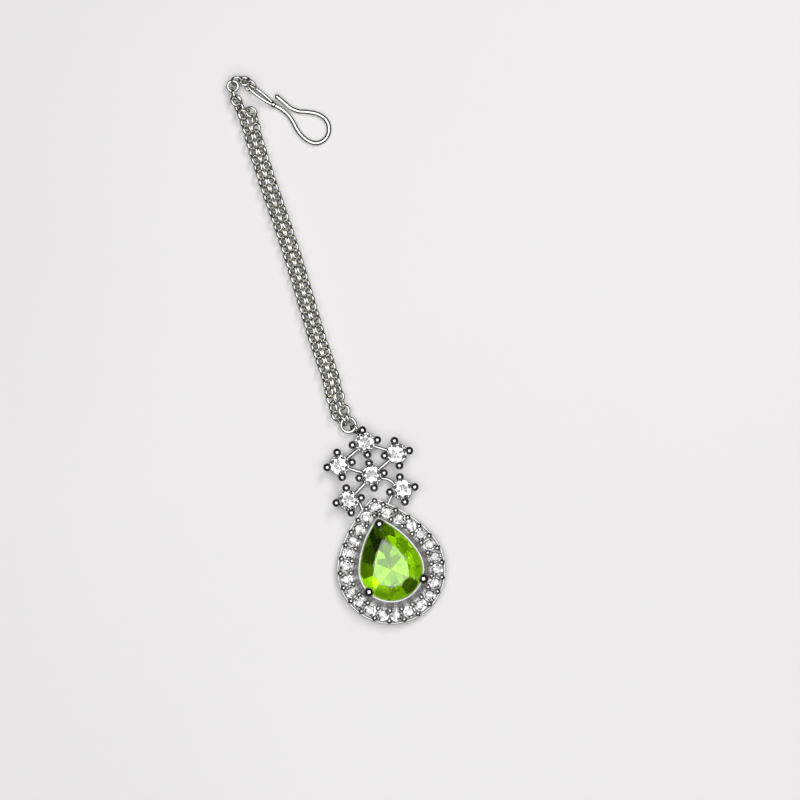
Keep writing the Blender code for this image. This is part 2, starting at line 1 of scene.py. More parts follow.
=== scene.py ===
# %% [markdown]
# # A maang tikka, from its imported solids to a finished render
#
# A maang tikka is a forehead jewel. This one has a green pear gem in a halo of small stones, a
# cluster of prong-set stones above it, a doubled chain and a wire hook that holds it in the hair.
# It lies face up on a pale table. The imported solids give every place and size, and this file gives
# each piece its fine shape and its finish.

import math
import random
from functools import partial

import bmesh
import bpy
from mathutils import Matrix, Vector


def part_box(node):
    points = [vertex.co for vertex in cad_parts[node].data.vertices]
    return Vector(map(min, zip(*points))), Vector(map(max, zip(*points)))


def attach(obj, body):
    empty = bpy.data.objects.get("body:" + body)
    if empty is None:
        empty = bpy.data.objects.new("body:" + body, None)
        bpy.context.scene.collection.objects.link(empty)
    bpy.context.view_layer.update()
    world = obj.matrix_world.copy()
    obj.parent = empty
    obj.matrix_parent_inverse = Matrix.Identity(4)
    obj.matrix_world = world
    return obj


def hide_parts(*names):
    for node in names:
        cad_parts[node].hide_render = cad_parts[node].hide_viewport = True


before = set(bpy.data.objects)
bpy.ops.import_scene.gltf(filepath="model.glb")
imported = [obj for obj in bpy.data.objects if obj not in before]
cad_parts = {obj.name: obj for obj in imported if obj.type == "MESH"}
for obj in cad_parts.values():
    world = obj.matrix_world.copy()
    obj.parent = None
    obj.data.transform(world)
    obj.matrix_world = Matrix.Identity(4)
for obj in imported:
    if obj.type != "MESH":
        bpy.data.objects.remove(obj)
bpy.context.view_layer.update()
MM = 0.001
print("solids loaded:", len(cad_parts))

# %% [markdown]
# ## Reading places from the solids
#
# Each round stone of the model is a small solid with its own name. The middle of its box is the
# stone's axis, and its girdle lies at a known share of its height. Reading these places, and not
# typing them again, keeps every seat, prong and stone in step with the solids.

# %% Stone places
HALO_STONES = sorted(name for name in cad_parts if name.startswith("halo_stone"))
CLUSTER_STONES = sorted(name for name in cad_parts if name.startswith("cluster_stone"))
CROWN_SHARE = 0.32
PAVILION_SHARE = 0.84
HALO_STONE_D = 2.0 * MM
CLUSTER_STONE_D = 3.25 * MM


def stone_middle(name):
    """Point on a round stone's axis at the height of its girdle."""
    low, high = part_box(name)
    share = PAVILION_SHARE / (PAVILION_SHARE + CROWN_SHARE)
    return Vector(((low.x + high.x) / 2, (low.y + high.y) / 2, low.z + (high.z - low.z) * share))


halo_spots = [stone_middle(name) for name in HALO_STONES]
cluster_spots = [stone_middle(name) for name in CLUSTER_STONES]
print("halo stones:", len(halo_spots), "cluster stones:", len(cluster_spots))

# %% [markdown]
# ## The teardrop outline
#
# The halo and the gem share one kind of outline: a round lobe, and two long flanks that touch it
# and meet in a tip. A function that gives the distance from the lobe's centre at any angle can
# draw every edge of the setting, because an offset edge is the same outline with larger radii.

# %% Teardrop outline
HALO_SIZES = (7.58 * MM, 20.0 * MM, 10.75 * MM)
GEM_SIZES = (5.05 * MM, 15.0 * MM, 8.5 * MM)
OUTLINE_STEPS = 288
lobe_middle = halo_spots[0] - Vector((0.0, HALO_SIZES[2], halo_spots[0].z))


def around(count):
    """Angles of even steps once round."""
    return [2 * math.pi * k / count for k in range(count)]


def teardrop_reach(angle, lobe_r, flank_r, height, offset):
    """Distance from the lobe's centre to the outline, grown by an offset, at an angle."""
    x, y = abs(math.cos(angle)), math.sin(angle)
    gap = flank_r - lobe_r
    slope = (flank_r ** 2 - gap ** 2 - height ** 2) / (2 * height * gap)
    touch = math.asin(slope)
    centre = Vector((-gap * math.cos(touch), -gap * slope))
    if math.atan2(y, x) <= touch:
        return lobe_r + offset
    along = x * centre.x + y * centre.y
    reach = along + math.sqrt(along ** 2 - centre.length_squared + (flank_r + offset) ** 2)
    tip = Vector((0.0, height))
    end = tip + (tip - centre).normalized() * max(offset, 0.0)
    if offset > 0.0 and math.atan2(y, x) > math.atan2(end.y, end.x):
        along = y * height
        reach = along + math.sqrt(max(along ** 2 - height ** 2 + offset ** 2, 0.0))
    return reach


def outline_point(sizes, angle, offset, z, scale=1.0):
    """Point of an outline of given sizes, grown by an offset and then scaled."""
    reach = teardrop_reach(angle, *sizes, offset) * scale
    return lobe_middle + Vector((reach * math.cos(angle), reach * math.sin(angle), z))


halo_point = partial(outline_point, HALO_SIZES)
gem_point = partial(outline_point, GEM_SIZES)
outline_angles = [math.pi / 2 - angle for angle in around(OUTLINE_STEPS)]


def outline_ring(point_at, offset, z, scale=1.0):
    """Closed ring of outline points, its offset and height in millimetres."""
    return [point_at(angle, offset * MM, z * MM, scale) for angle in outline_angles]


print("halo outline from", round(halo_point(math.pi / 2, 0.0, 0.0).y / MM, 2), "mm at the tip")

# %% [markdown]
# ## Small mesh helpers
#
# A few helpers carry most of the work. A loft skins one closed ring of points to the next. A hull
# cuts a faceted stone, because every cut stone is convex. A lathe turns a profile. A finished piece
# goes into the scene with its place in its mesh and its object at the origin.

# %% Mesh helpers
FLAT_WITHIN = math.radians(0.6)
SHORTEST_EDGE = 0.002 * MM
SAME_POINT = 0.0001 * MM


def in_scene(name, data):
    """New object in the scene."""
    obj = bpy.data.objects.new(name, data)
    bpy.context.scene.collection.objects.link(obj)
    return obj


def mesh_object(name, mesh, material, smooth_angle=None):
    """Put a mesh into the scene as an object with one material."""
    mesh.materials.clear()
    mesh.materials.append(material)
    if smooth_angle is not None:
        mesh.shade_smooth()
        mesh.set_sharp_from_angle(angle=math.radians(smooth_angle))
    return in_scene(name, mesh)


def to_mesh(bm, name, outward=True):
    """Mesh of a finished bmesh, with its normals turned outward."""
    if outward:
        bmesh.ops.recalc_face_normals(bm, faces=bm.faces)
    mesh = bpy.data.meshes.new(name)
    bm.to_mesh(mesh)
    bm.free()
    return mesh


def ring_loft(name, sections):
    """Skin closed rings of points, each to the next, and the last back to the first."""
    bm = bmesh.new()
    rings = [[bm.verts.new(point) for point in section] for section in sections]
    count = len(rings[0])
    for lower, upper in zip(rings, rings[1:] + rings[:1]):
        for i in range(count):
            after = (i + 1) % count
            bm.faces.new((lower[i], lower[after], upper[after], upper[i]))
    return to_mesh(bm, name)


def hull(points):
    """Bmesh of the convex hull of points."""
    bm = bmesh.new()
    for point in points:
        bm.verts.new(point)
    result = bmesh.ops.convex_hull(bm, input=bm.verts)
    spare = [item for item in result["geom_interior"] if isinstance(item, bmesh.types.BMVert)]
    bmesh.ops.delete(bm, geom=spare, context="VERTS")
    return bm


def faceted(name, points):
    """Convex hull of points, with coplanar triangles joined into facets."""
    bm = hull(points)
    bmesh.ops.dissolve_limit(bm, angle_limit=FLAT_WITHIN, verts=bm.verts, edges=bm.edges)
    bmesh.ops.dissolve_degenerate(bm, dist=SHORTEST_EDGE, edges=bm.edges)
    return to_mesh(bm, name)


def lathe(name, profile, sides):
    """Turn a profile of (radius, height) points about Z into a closed mesh."""
    bm = bmesh.new()
    verts = [bm.verts.new((radius, 0.0, height)) for radius, height in profile]
    edges = [bm.edges.new(pair) for pair in zip(verts, verts[1:])]
    bmesh.ops.spin(
        bm, geom=verts + edges, cent=(0, 0, 0), axis=(0, 0, 1), angle=2 * math.pi,
        steps=sides, use_merge=True, use_duplicate=False)
    bmesh.ops.remove_doubles(bm, verts=bm.verts, dist=SAME_POINT)
    return to_mesh(bm, name)


def rounded(half_width, half_length, steps, end=math.pi, rise=0.0):
    """Profile of a ball or knob from its top down to an angle."""
    angles = [end * k / steps for k in range(steps + 1)]
    return [(half_width * math.sin(t), rise + half_length * math.cos(t)) for t in angles]


def aimed(mesh, spot, way):
    """Mesh moved to a spot with its Z axis turned along a way."""
    mesh.transform(Matrix.Translation(spot) @ way.to_track_quat("Z", "X").to_matrix().to_4x4())
    return mesh


def merged(name, meshes, places=None):
    """One mesh from several, each with its placing."""
    bm = bmesh.new()
    for i, mesh in enumerate(meshes):
        piece = mesh.copy()
        if places is not None:
            piece.transform(places[i])
        bm.from_mesh(piece)
        bpy.data.meshes.remove(piece)
    return to_mesh(bm, name, outward=False)


def evaluated(obj):
    """Plain mesh of an object with its modifiers applied."""
    bpy.context.view_layer.update()
    graph = bpy.context.evaluated_depsgraph_get()
    return bpy.data.meshes.new_from_object(obj.evaluated_get(graph))


def cut(name, body, tool):
    """Body with the tool cut away."""
    first, second = in_scene(name, body), in_scene(name + "_tool", tool)
    modifier = first.modifiers.new("Cut", "BOOLEAN")
    modifier.operation = "DIFFERENCE"
    modifier.solver = "EXACT"
    modifier.object = second
    mesh = evaluated(first)
    for obj in (first, second):
        bpy.data.objects.remove(obj, do_unlink=True)
    return mesh


# %% Finished pieces
EDGE_SMOOTH, WIRE_SMOOTH, ROUND_SMOOTH = 35, 50, 60


def finish_piece(obj, finish, *nodes):
    """Put a piece on its body, hide the solids that it stands for, and print its face count."""
    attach(obj, "root")
    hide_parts(*nodes)
    print(obj.name, "faces:", len(obj.data.polygons))


def metal_piece(name, mesh, material, smooth_angle, node="pendant_frame"):
    """Finished piece of plated metal."""
    finish_piece(mesh_object(name, mesh, material, smooth_angle), "silver_metal", node)


# %% [markdown]
# ## Small node helpers
#
# Materials and Geometry Nodes trees are both made of nodes with sockets. One helper adds a node,
# sets its properties, and then fills its inputs: a socket is linked, anything else is a set value.
# One more makes a group with named inputs and outputs.

# %% Node helpers
def fill(tree, node, inputs):
    """Link sockets to a node's inputs by name or number, or set their values."""
    for key, value in inputs.items():
        if isinstance(value, bpy.types.NodeSocket):
            tree.links.new(value, node.inputs[key])
        else:
            node.inputs[key].default_value = value
    return node


def add(tree, kind, inputs=None, **settings):
    """Add a node with its settings and inputs."""
    node = tree.nodes.new(kind)
    for key, value in settings.items():
        setattr(node, key, value)
    return fill(tree, node, inputs or {})


def new_group(name, kind, inputs, outputs):
    """Node group with inputs (name, kind, start value) and outputs (name, kind)."""
    tree = bpy.data.node_groups.new(name, kind)
    for way, rows in (("INPUT", inputs), ("OUTPUT", outputs)):
        for label, socket_kind, *start in rows:
            socket = tree.interface.new_socket(
                label, in_out=way, socket_type="NodeSocket" + socket_kind)
            if start:
                socket.default_value = start[0]
    return tree, tree.nodes.new("NodeGroupInput").outputs, tree.nodes.new("NodeGroupOutput")


def noise(tree, vector, scale, detail=2.0):
    """Soft noise."""
    return add(tree, "ShaderNodeTexNoise", {
        "Vector": vector, "Scale": scale, "Detail": detail}).outputs["Fac"]


def spread(tree, value, start, end, low=0.0, high=1.0):
    """Value stretched from one range to another."""
    return add(tree, "ShaderNodeMapRange", {
        "Value": value, "From Min": start, "From Max": end,
        "To Min": low, "To Max": high}).outputs["Result"]


def mixed(tree, factor, first, second, blend="MIX"):
    """Two colours mixed."""
    return add(tree, "ShaderNodeMix", {"Factor": factor, "A": first, "B": second},
               data_type="RGBA", blend_type=blend).outputs["Result"]


def new_material(name):
    """Material with its tree, its shader and the object's own coordinates."""
    material = bpy.data.materials.new(name)
    material.use_nodes = True
    tree = material.node_tree
    place = add(tree, "ShaderNodeTexCoord").outputs["Object"]
    return material, tree, tree.nodes["Principled BSDF"], place


# %% [markdown]
# ## One polish for all the metal
#
# The whole jewel is plated with the same silver-white metal, polished to a mirror. What tells real
# plating from a computer's mirror is small: hair-fine scratches that bend the reflections, faint
# clouds where fingers touched, and a duller tone in places. One node group makes these from the
# object's own coordinates, and each metal finish sets its own strength.

# %% Polish node group
SCRATCH_STRETCH = (1.0, 0.12, 1.0)
SCRATCH_TURN = (0.3, 0.5, 0.9)


def polish_group():
    """Node group that puts out the colour, roughness and normal of worn polished plating."""
    tree, given, result = new_group("worn_polish", "ShaderNodeTree", (
        ("Vector", "Vector"), ("Tint", "Color"), ("Scratch Scale", "Float", 900.0),
        ("Scratch Depth", "Float", 0.05), ("Cloud Scale", "Float", 260.0),
        ("Polish", "Float", 0.05), ("Dullness", "Float", 0.18)),
        (("Color", "Color"), ("Roughness", "Float"), ("Normal", "Vector")))
    cloud = noise(tree, given["Vector"], given["Cloud Scale"], 5.0)
    stretch = add(tree, "ShaderNodeMapping", {
        "Scale": SCRATCH_STRETCH, "Rotation": SCRATCH_TURN, "Vector": given["Vector"]})
    scratch = noise(tree, stretch.outputs["Vector"], given["Scratch Scale"])
    bump = add(tree, "ShaderNodeBump", {
        "Distance": 0.02 * MM, "Strength": given["Scratch Depth"], "Height": scratch})
    fill(tree, result, {
        "Color": mixed(tree, 1.0, given["Tint"], spread(tree, cloud, 0.3, 0.7, 1.0, 0.86),
                       "MULTIPLY"),
        "Roughness": spread(tree, cloud, 0.38, 0.72, given["Polish"], given["Dullness"]),
        "Normal": bump.outputs["Normal"]})
    return tree


polish = polish_group()
print("polish group inputs:", [item.name for item in polish.interface.items_tree][:7])

# %% [markdown]
# A polished ball mirrors the dark room at its edge, where it turns away from the eye. On top of
# that, each finish has an edge share of painted shade: how far its colour is painted darker there,
# and from which turn on.

# %% Metal finishes
PAINTED_SHADE_WIDTH = 0.35


def metal_finish(name, tint, polish_low, dullness, scratch, edge=0.0, painted_shade_start=0.25):
    """Plated metal with the worn polish on it, and painted shade where it turns away, by the edge
    share.
    """
    material, tree, shader, place = new_material(name)
    wear = add(tree, "ShaderNodeGroup", {
        "Tint": (*tint, 1.0), "Polish": polish_low, "Dullness": dullness,
        "Scratch Depth": scratch, "Vector": place}, node_tree=polish).outputs
    # Painted shade: the colour is darkened where the surface turns away from the eye.
    turned = add(tree, "ShaderNodeLayerWeight").outputs["Facing"]
    painted_edge_shade = spread(tree, turned, painted_shade_start, painted_shade_start + PAINTED_SHADE_WIDTH, 1.0, 1.0 - edge)
    fill(tree, shader, {
        "Metallic": 1.0, "Base Color": mixed(tree, 1.0, wear["Color"], painted_edge_shade, "MULTIPLY"),
        "Roughness": wear["Roughness"], "Normal": wear["Normal"]})
    return material


# The last two numbers of a finish are its painted edge shade and the turn where that starts.
plate_metal = metal_finish("plate_metal", (0.84, 0.835, 0.825), 0.04, 0.12, 0.10)
prong_metal = metal_finish("prong_metal", (0.66, 0.65, 0.635), 0.10, 0.16, 0.05, 0.92, 0.30)
chain_metal = metal_finish("chain_metal", (0.97, 0.945, 0.885), 0.22, 0.34, 0.10, 0.70, 0.60)
hook_metal = metal_finish("hook_metal", (0.88, 0.86, 0.81), 0.08, 0.16, 0.08, 0.85, 0.35)
gallery_metal = metal_finish("gallery_metal", (0.74, 0.735, 0.72), 0.48, 0.56, 0.15)
# Painted shade: a dark copy of the plating for the channel's recess.
painted_shade_channel_metal = metal_finish("painted_shade_channel_metal", (0.16, 0.157, 0.153), 0.30, 0.45, 0.30)
seat_metal = metal_finish("seat_metal", (0.90, 0.895, 0.885), 0.25, 0.40, 0.10)
print("metal finishes:", [m.name for m in bpy.data.materials if m.name.endswith("_metal")])

# %% [markdown]
# ## Stones that bend light
#
# A cut stone sparkles because light enters its crown, bounces between the facets underneath and
# leaves again. The facets are real ones in the mesh, and the shader is plain glass that bends light
# far more than a window does. A renderer follows few of the many bounces inside, so every facet
# carries two painted values of its own: painted shade that darkens its colour, and a painted glow
# for the light that it sends back up. Faint smudges change the roughness, and soft zones change the
# green.

# %% Stone finishes
def smudge_group():
    """Node group for the faint uneven colour and smudges of a polished stone."""
    tree, given, result = new_group("stone_smudge", "ShaderNodeTree", (
        ("Vector", "Vector"), ("Light Tone", "Color"), ("Deep Tone", "Color"),
        ("Zone Scale", "Float", 180.0), ("Smudge Scale", "Float", 420.0),
        ("Smudge", "Float", 0.02)), (("Color", "Color"), ("Roughness", "Float")))
    zone = noise(tree, given["Vector"], given["Zone Scale"], 3.0)
    smear = noise(tree, given["Vector"], given["Smudge Scale"], 4.0)
    fill(tree, result, {
        "Color": mixed(tree, zone, given["Light Tone"], given["Deep Tone"]),
        "Roughness": spread(tree, smear, 0.5, 0.8, 0.0, given["Smudge"])})
    return tree


smudge = smudge_group()
SMUDGE = 0.01
BLACK = (0.0, 0.0, 0.0, 1.0)


def stone_finish(name, light_tone, deep_tone, bending, glow=None):
    """Faceted glass with soft colour zones, faint smudges, and painted shade and a painted glow by
    facet.
    """
    material, tree, shader, place = new_material(name)
    uneven = add(tree, "ShaderNodeGroup", {
        "Light Tone": (*light_tone, 1.0), "Deep Tone": (*deep_tone, 1.0), "Smudge": SMUDGE,
        "Vector": place}, node_tree=smudge).outputs
    # Painted shade: each facet's own value darkens the colour.
    tone = add(tree, "ShaderNodeAttribute", attribute_name="facet_painted_shade").outputs["Fac"]
    fill(tree, shader, {
        "Transmission Weight": 1.0, "IOR": bending, "Roughness": uneven["Roughness"],
        "Base Color": mixed(tree, 1.0, uneven["Color"], tone, "MULTIPLY")})
    if glow is not None:
        # Painted glow: each facet's own value sets how much of the glow colour it emits.
        painted_glow_share = add(tree, "ShaderNodeAttribute", attribute_name="facet_painted_glow").outputs["Fac"]
        fill(tree, shader, {"Emission Strength": 1.0, "Emission Color": mixed(
            tree, painted_glow_share, BLACK, (*glow, 1.0))})
    return material


# The last colour of a stone finish is the colour of its painted glow.
clear_stone = stone_finish("clear_stone", (1.0, 1.0, 1.0), (0.88, 0.89, 0.90), 2.15,
                           (0.9, 0.9, 0.9))
# Painted shade: the cluster's clear stones use a darker copy of the clear stone, with no glow.
shaded_copy_stone = stone_finish("shaded_copy_clear_stone", (0.80, 0.80, 0.81), (0.68, 0.685, 0.70), 2.15)
# Painted glow of the green gem: a lime colour that its facets underneath emit.
green_stone = stone_finish("green_stone", (0.42, 0.76, 0.012), (0.31, 0.66, 0.008), 2.0,
                           (0.60, 1.0, 0.05))
print("stone finishes:", [m.name for m in bpy.data.materials if m.name.endswith("_stone")])

# %% [markdown]
# ## The round stones
#
# A round brilliant has a flat table, a crown of stars, kites and thin upper facets, a girdle, and
# a pavilion of long mains. Its corner points follow from a few angles. Each kite is flat, so where
# its side corners lie is worked out from the crown's slope. A convex hull through the corner points
# then gives every facet, and the same cut serves both sizes of stone.

# %% Round brilliant
TABLE_SHARE = 0.58
STAR_SHARE = 0.80
LOWER_SHARE = 0.24
GIRDLE_SHARE = 0.02
MAINS = 8


def brilliant_points(radius):
    """Corner points of a round brilliant with its girdle at height 0."""
    crown_slope = CROWN_SHARE / (1.0 - TABLE_SHARE)
    half_step = math.pi / MAINS
    star_height = CROWN_SHARE - crown_slope * (STAR_SHARE * math.cos(half_step) - TABLE_SHARE)
    lower_depth = PAVILION_SHARE * (1.0 - LOWER_SHARE * math.cos(half_step))
    points = [(0.0, 0.0, -PAVILION_SHARE - GIRDLE_SHARE)]
    for main in around(MAINS):
        between = main + half_step
        for angle, share, height in ((main, TABLE_SHARE, CROWN_SHARE),
                                     (between, STAR_SHARE, star_height),
                                     (between, LOWER_SHARE, -lower_depth - GIRDLE_SHARE)):
            points.append((share * math.cos(angle), share * math.sin(angle), height))
    for angle in around(4 * MAINS):
        for height in (0.0, -GIRDLE_SHARE):
            points.append((math.cos(angle), math.sin(angle), height))
    return [Vector(point) * radius for point in points]


halo_cut = faceted("halo_cut", brilliant_points(HALO_STONE_D / 2))
cluster_cut = faceted("cluster_cut", brilliant_points(CLUSTER_STONE_D / 2))
print("facets of one round stone:", len(halo_cut.polygons))

# %% [markdown]
# Each stone is turned and leaned a little otherwise, as a setter's hand leaves them. Thin facets by
# the girdle get painted shade, dark and bright in turn, and every facet underneath gets a painted
# glow by chance.

# %% Set the round stones
PAINTED_FACET_DRAW = random.Random(5)
RIM_STEP = 11.25
RIM_START = 0.72
RIM_DARK_SHARE, INNER_DARK_SHARE = 0.7, 0.12
STONE_TABLE_PAINTED_SHADE, RIM_PAINTED_SHADE, INNER_PAINTED_SHADE = 0.9, 0.01, 0.35
TABLE_FACING = 0.99
SLOPE_FACING = 0.2
MOST_PAINTED_GLOW = 0.9
STONE_TURN = math.radians(137.5)
STONE_LEAN = math.radians(2.5)
LEAN_STEP = 1.7


def facet_values(mesh, label, value_of):
    """Give every facet its own value, as a named attribute."""
    values = mesh.attributes.new(label, "FLOAT", "FACE")
    for face in mesh.polygons:
        values.data[face.index].value = value_of(face)


def round_painted_shade(radius, face):
    """Painted shade of a round stone's facet: a few by the girdle are painted dark, most stay
    bright.
    """
    draw = PAINTED_FACET_DRAW.random()
    reach = face.center.to_2d().length / radius
    step = math.degrees(math.atan2(face.center.y, face.center.x)) // RIM_STEP
    if face.normal.z > TABLE_FACING:
        return STONE_TABLE_PAINTED_SHADE
    if reach > RIM_START:
        return RIM_PAINTED_SHADE if step % 2 == 0 and draw < RIM_DARK_SHARE else 1.0
    return INNER_PAINTED_SHADE if draw < INNER_DARK_SHARE else 1.0


def round_painted_glow(face):
    """Painted glow of a round stone's facet, by chance, and only underneath."""
    return PAINTED_FACET_DRAW.uniform(0.0, MOST_PAINTED_GLOW) if face.normal.z < -SLOPE_FACING else 0.0


for names, spots, shape, finish in ((HALO_STONES, halo_spots, halo_cut, clear_stone),
                                    (CLUSTER_STONES, cluster_spots, cluster_cut, shaded_copy_stone)):
    stone_radius = max(vertex.co.x for vertex in shape.vertices)
    for number, (name, spot) in enumerate(zip(names, spots)):
        stone = shape.copy()
        # Every stone gets painted shade and a painted glow on its facets.
        facet_values(stone, "facet_painted_shade", partial(round_painted_shade, stone_radius))
        facet_values(stone, "facet_painted_glow", round_painted_glow)
        turn = Matrix.Rotation(STONE_TURN * number, 4, "Z")
        toward = number * LEAN_STEP
        lean = Matrix.Rotation(STONE_LEAN, 4, (math.cos(toward), math.sin(toward), 0.0))
        stone.transform(Matrix.Translation(spot) @ lean @ turn)
        finish_piece(mesh_object(name + "_cut", stone, finish), "clear_stone", name)

# %% [markdown]
# ## The pear gem
#
# A cutter grinds one flat after another, and the pear gem is made the same way. It starts as a
# prism on the teardrop outline. Planes then slice it: the table, mains over and under the girdle,
# two thin facets by the girdle beside each main, and stars by the table. The mains are spaced
# evenly along the outline, so they grow narrower in the view toward the tip.

# %% Cut the pear gem
GEM_GIRDLE_Z = 3.7 * MM
GEM_CROWN = 1.4 * MM
GEM_PAVILION = 3.2 * MM
GEM_MAINS = 12
GEM_TABLE = 0.57
STAR_REACH = 0.97
STAR_SLOPE = 0.55
GEM_EDGE = 0.05 * MM
GEM_EDGE_TURN = math.radians(6.5)
FINE_STEPS = 3600
FACING_STEP = 0.02
PRISM_SIDES = 96
PRISM_SPARE = 0.1 * MM
WELD = 0.008 * MM
PLANE_WITHIN = 0.00001 * MM
keel = GEM_GIRDLE_Z - GEM_PAVILION


def even_angles(count):
    """Angles of points evenly spaced along the gem's outline, from the tip round."""
    fine = [math.pi / 2 + 2 * math.pi * k / FINE_STEPS for k in range(FINE_STEPS + 1)]
    spots = [gem_point(angle, 0.0, 0.0) for angle in fine]
    gone, total = [0.0], 0.0
    for before, after in zip(spots, spots[1:]):
        total += (after - before).length
        gone.append(total)
    angles, k = [], 0
    for part in range(count):
        while gone[k] < total * part / count:
            k += 1
        angles.append(fine[k])
    return angles


def facet_plane(angle, point, slope):
    """Plane of a facet that faces the outline's outside at an angle; the slope is signed."""
    along = gem_point(angle + FACING_STEP, 0.0, 0.0) - gem_point(angle - FACING_STEP, 0.0, 0.0)
    out = Vector((along.y, -along.x, 0.0)).normalized()
    up = math.copysign(math.cos(slope), slope)
    return point, out * math.sin(abs(slope)) + Vector((0.0, 0.0, up))


def pear_planes():
    """Planes of the gem's facets: mains, two by the girdle for each, and stars."""
    crown = GEM_GIRDLE_Z + GEM_CROWN
    rise = Vector((0.0, 0.0, GEM_EDGE))
    planes = [(Vector((0.0, 0.0, crown)), Vector((0.0, 0.0, 1.0)))]
    for k, angle in enumerate(even_angles(4 * GEM_MAINS)):
        edge = gem_point(angle, 0.0, GEM_GIRDLE_Z)
        reach = (edge - lobe_middle).to_2d().length
        top_slope = math.atan(GEM_CROWN / (reach * (1.0 - GEM_TABLE)))
        low_slope = math.atan(GEM_PAVILION / reach)
        if k % 4 == 0:
            planes.append(facet_plane(angle, gem_point(angle, 0.0, crown, GEM_TABLE), top_slope))
            planes.append(facet_plane(angle, lobe_middle + Vector((0, 0, keel)), -low_slope))
        elif k % 4 == 2:
            table = gem_point(angle, 0.0, crown, GEM_TABLE * STAR_REACH)
            planes.append(facet_plane(angle, table, top_slope * STAR_SLOPE))
        else:
            planes.append(facet_plane(angle, edge + rise, top_slope + GEM_EDGE_TURN))
            planes.append(facet_plane(angle, edge - rise, -low_slope - GEM_EDGE_TURN))
    return planes


# %% Slice the gem
def sliced(name, planes, low, high):
    """Prism on the gem's outline with everything outside the planes sliced away."""
    points = [gem_point(angle, 0.0, z) for z in (low, high) for angle in around(PRISM_SIDES)]
    for point, normal in planes:
        bm = hull(points)
        bmesh.ops.bisect_plane(bm, geom=bm.verts[:] + bm.edges[:] + bm.faces[:],
                               dist=PLANE_WITHIN, plane_co=point, plane_no=normal, clear_outer=True)
        bmesh.ops.remove_doubles(bm, verts=bm.verts, dist=WELD)
        points = [vertex.co.copy() for vertex in bm.verts]
        bm.free()
    return faceted(name, points)


pear = sliced("pear_cut", pear_planes(), keel - PRISM_SPARE,
              GEM_GIRDLE_Z + GEM_CROWN + PRISM_SPARE)
print("gem facets:", len(pear.polygons))

# %% [markdown]
# The gem is painted dark at its upper left and brilliant at its lower left, and greens of every
# depth lie between. Two tables give painted shade and painted glow by the turn round the gem, in
# degrees from the right of the view. Chance then makes one facet deeper than the next, so a value
# above one stays full even after a low draw.

# %% Painted light and shade in the pear gem
SCREEN_LEAN = 14.7
PAINTED_GLOW_BY_TURN = ((0, 1.20), (30, 0.60), (60, 0.25), (90, 0.30), (115, 0.04), (168, 0.04),
                (180, 1.20), (190, 4.00), (250, 4.00), (265, 0.60), (300, 0.50), (330, 1.20),
                (360, 1.20))
PAINTED_SHADE_BY_TURN = ((0, 0.80), (30, 0.35), (60, 0.12), (88, 0.60), (100, 0.50), (115, 0.02),
                (172, 0.02), (181, 1.00), (190, 9.00), (250, 9.00), (266, 0.60), (300, 0.45),
                (330, 0.80), (360, 0.80))
MAIN_PAINTED_GLOW, MAIN_SIDE_PAINTED_GLOW, MAIN_DRAW_SHARE = 0.27, 0.22, 0.2
MAIN_DEPTH = 0.2 * GEM_PAVILION
SECTOR = 15.0
SECTORS = 24
GLOW_DRAW = random.Random(11)
CROWN_DRAWS = [GLOW_DRAW.choice((0.05, 0.35, 1.0)) for _ in range(SECTORS)]
PAVILION_DRAWS = [GLOW_DRAW.choice((0.08, 0.35, 0.8)) for _ in range(2 * SECTORS)]


def gem_turn(face):
    """Turn of a facet round the gem in degrees, from the right of the view."""
    way = face.center - lobe_middle
    return (math.degrees(math.atan2(way.y, way.x)) + SCREEN_LEAN) % 360.0


def by_turn(face, rows):
    """Value for a facet from rows of turns round the gem, in degrees, and values."""
    turn = gem_turn(face)
    for (start, low), (end, high) in zip(rows, rows[1:]):
        if start <= turn <= end:
            return low + (high - low) * (turn - start) / (end - start)


def gem_painted_glow(face):
    """Painted glow of a facet under the girdle, for the light that it sends back up."""
    if face.normal.z > -SLOPE_FACING:
        return 0.0
    tone = by_turn(face, PAINTED_GLOW_BY_TURN)
    sector = int(gem_turn(face) / SECTOR)
    lowest = min(pear.vertices[corner].co.z for corner in face.vertices)
    if lowest < keel + MAIN_DEPTH:
        share = MAIN_PAINTED_GLOW + MAIN_SIDE_PAINTED_GLOW * min(tone, 1.0)
        return share * (1.0 - MAIN_DRAW_SHARE + MAIN_DRAW_SHARE * PAVILION_DRAWS[sector])
    return min(tone * PAVILION_DRAWS[SECTORS + sector], 1.0)


def gem_painted_shade(face):
    """Painted shade of a facet of the gem: none for the table and below, by its side on the crown.
    """
    if face.normal.z < SLOPE_FACING or face.normal.z > TABLE_FACING:
        return 1.0
    draw = CROWN_DRAWS[int(gem_turn(face) / SECTOR)]
    return min(by_turn(face, PAINTED_SHADE_BY_TURN) * draw, 1.0)


gem = mesh_object("center_gem_cut", pear, green_stone)
# The gem's facets get painted shade and a painted glow by their side.
facet_values(pear, "facet_painted_shade", gem_painted_shade)
facet_values(pear, "facet_painted_glow", gem_painted_glow)
finish_piece(gem, "green_gem", "center_gem")

# %% [markdown]
# ## The halo plate
#
# The halo is a teardrop band of metal with a thin polished rim along its edge and a shallow channel
# in which the stones sit. A loft through offset outlines draws this section all the way round, and
# one Boolean cut sinks a conical seat under every stone. The channel's floor is painted dark and
# dull, painted shade for the recess, and the seats are bright, so that they light the stones from
# below.

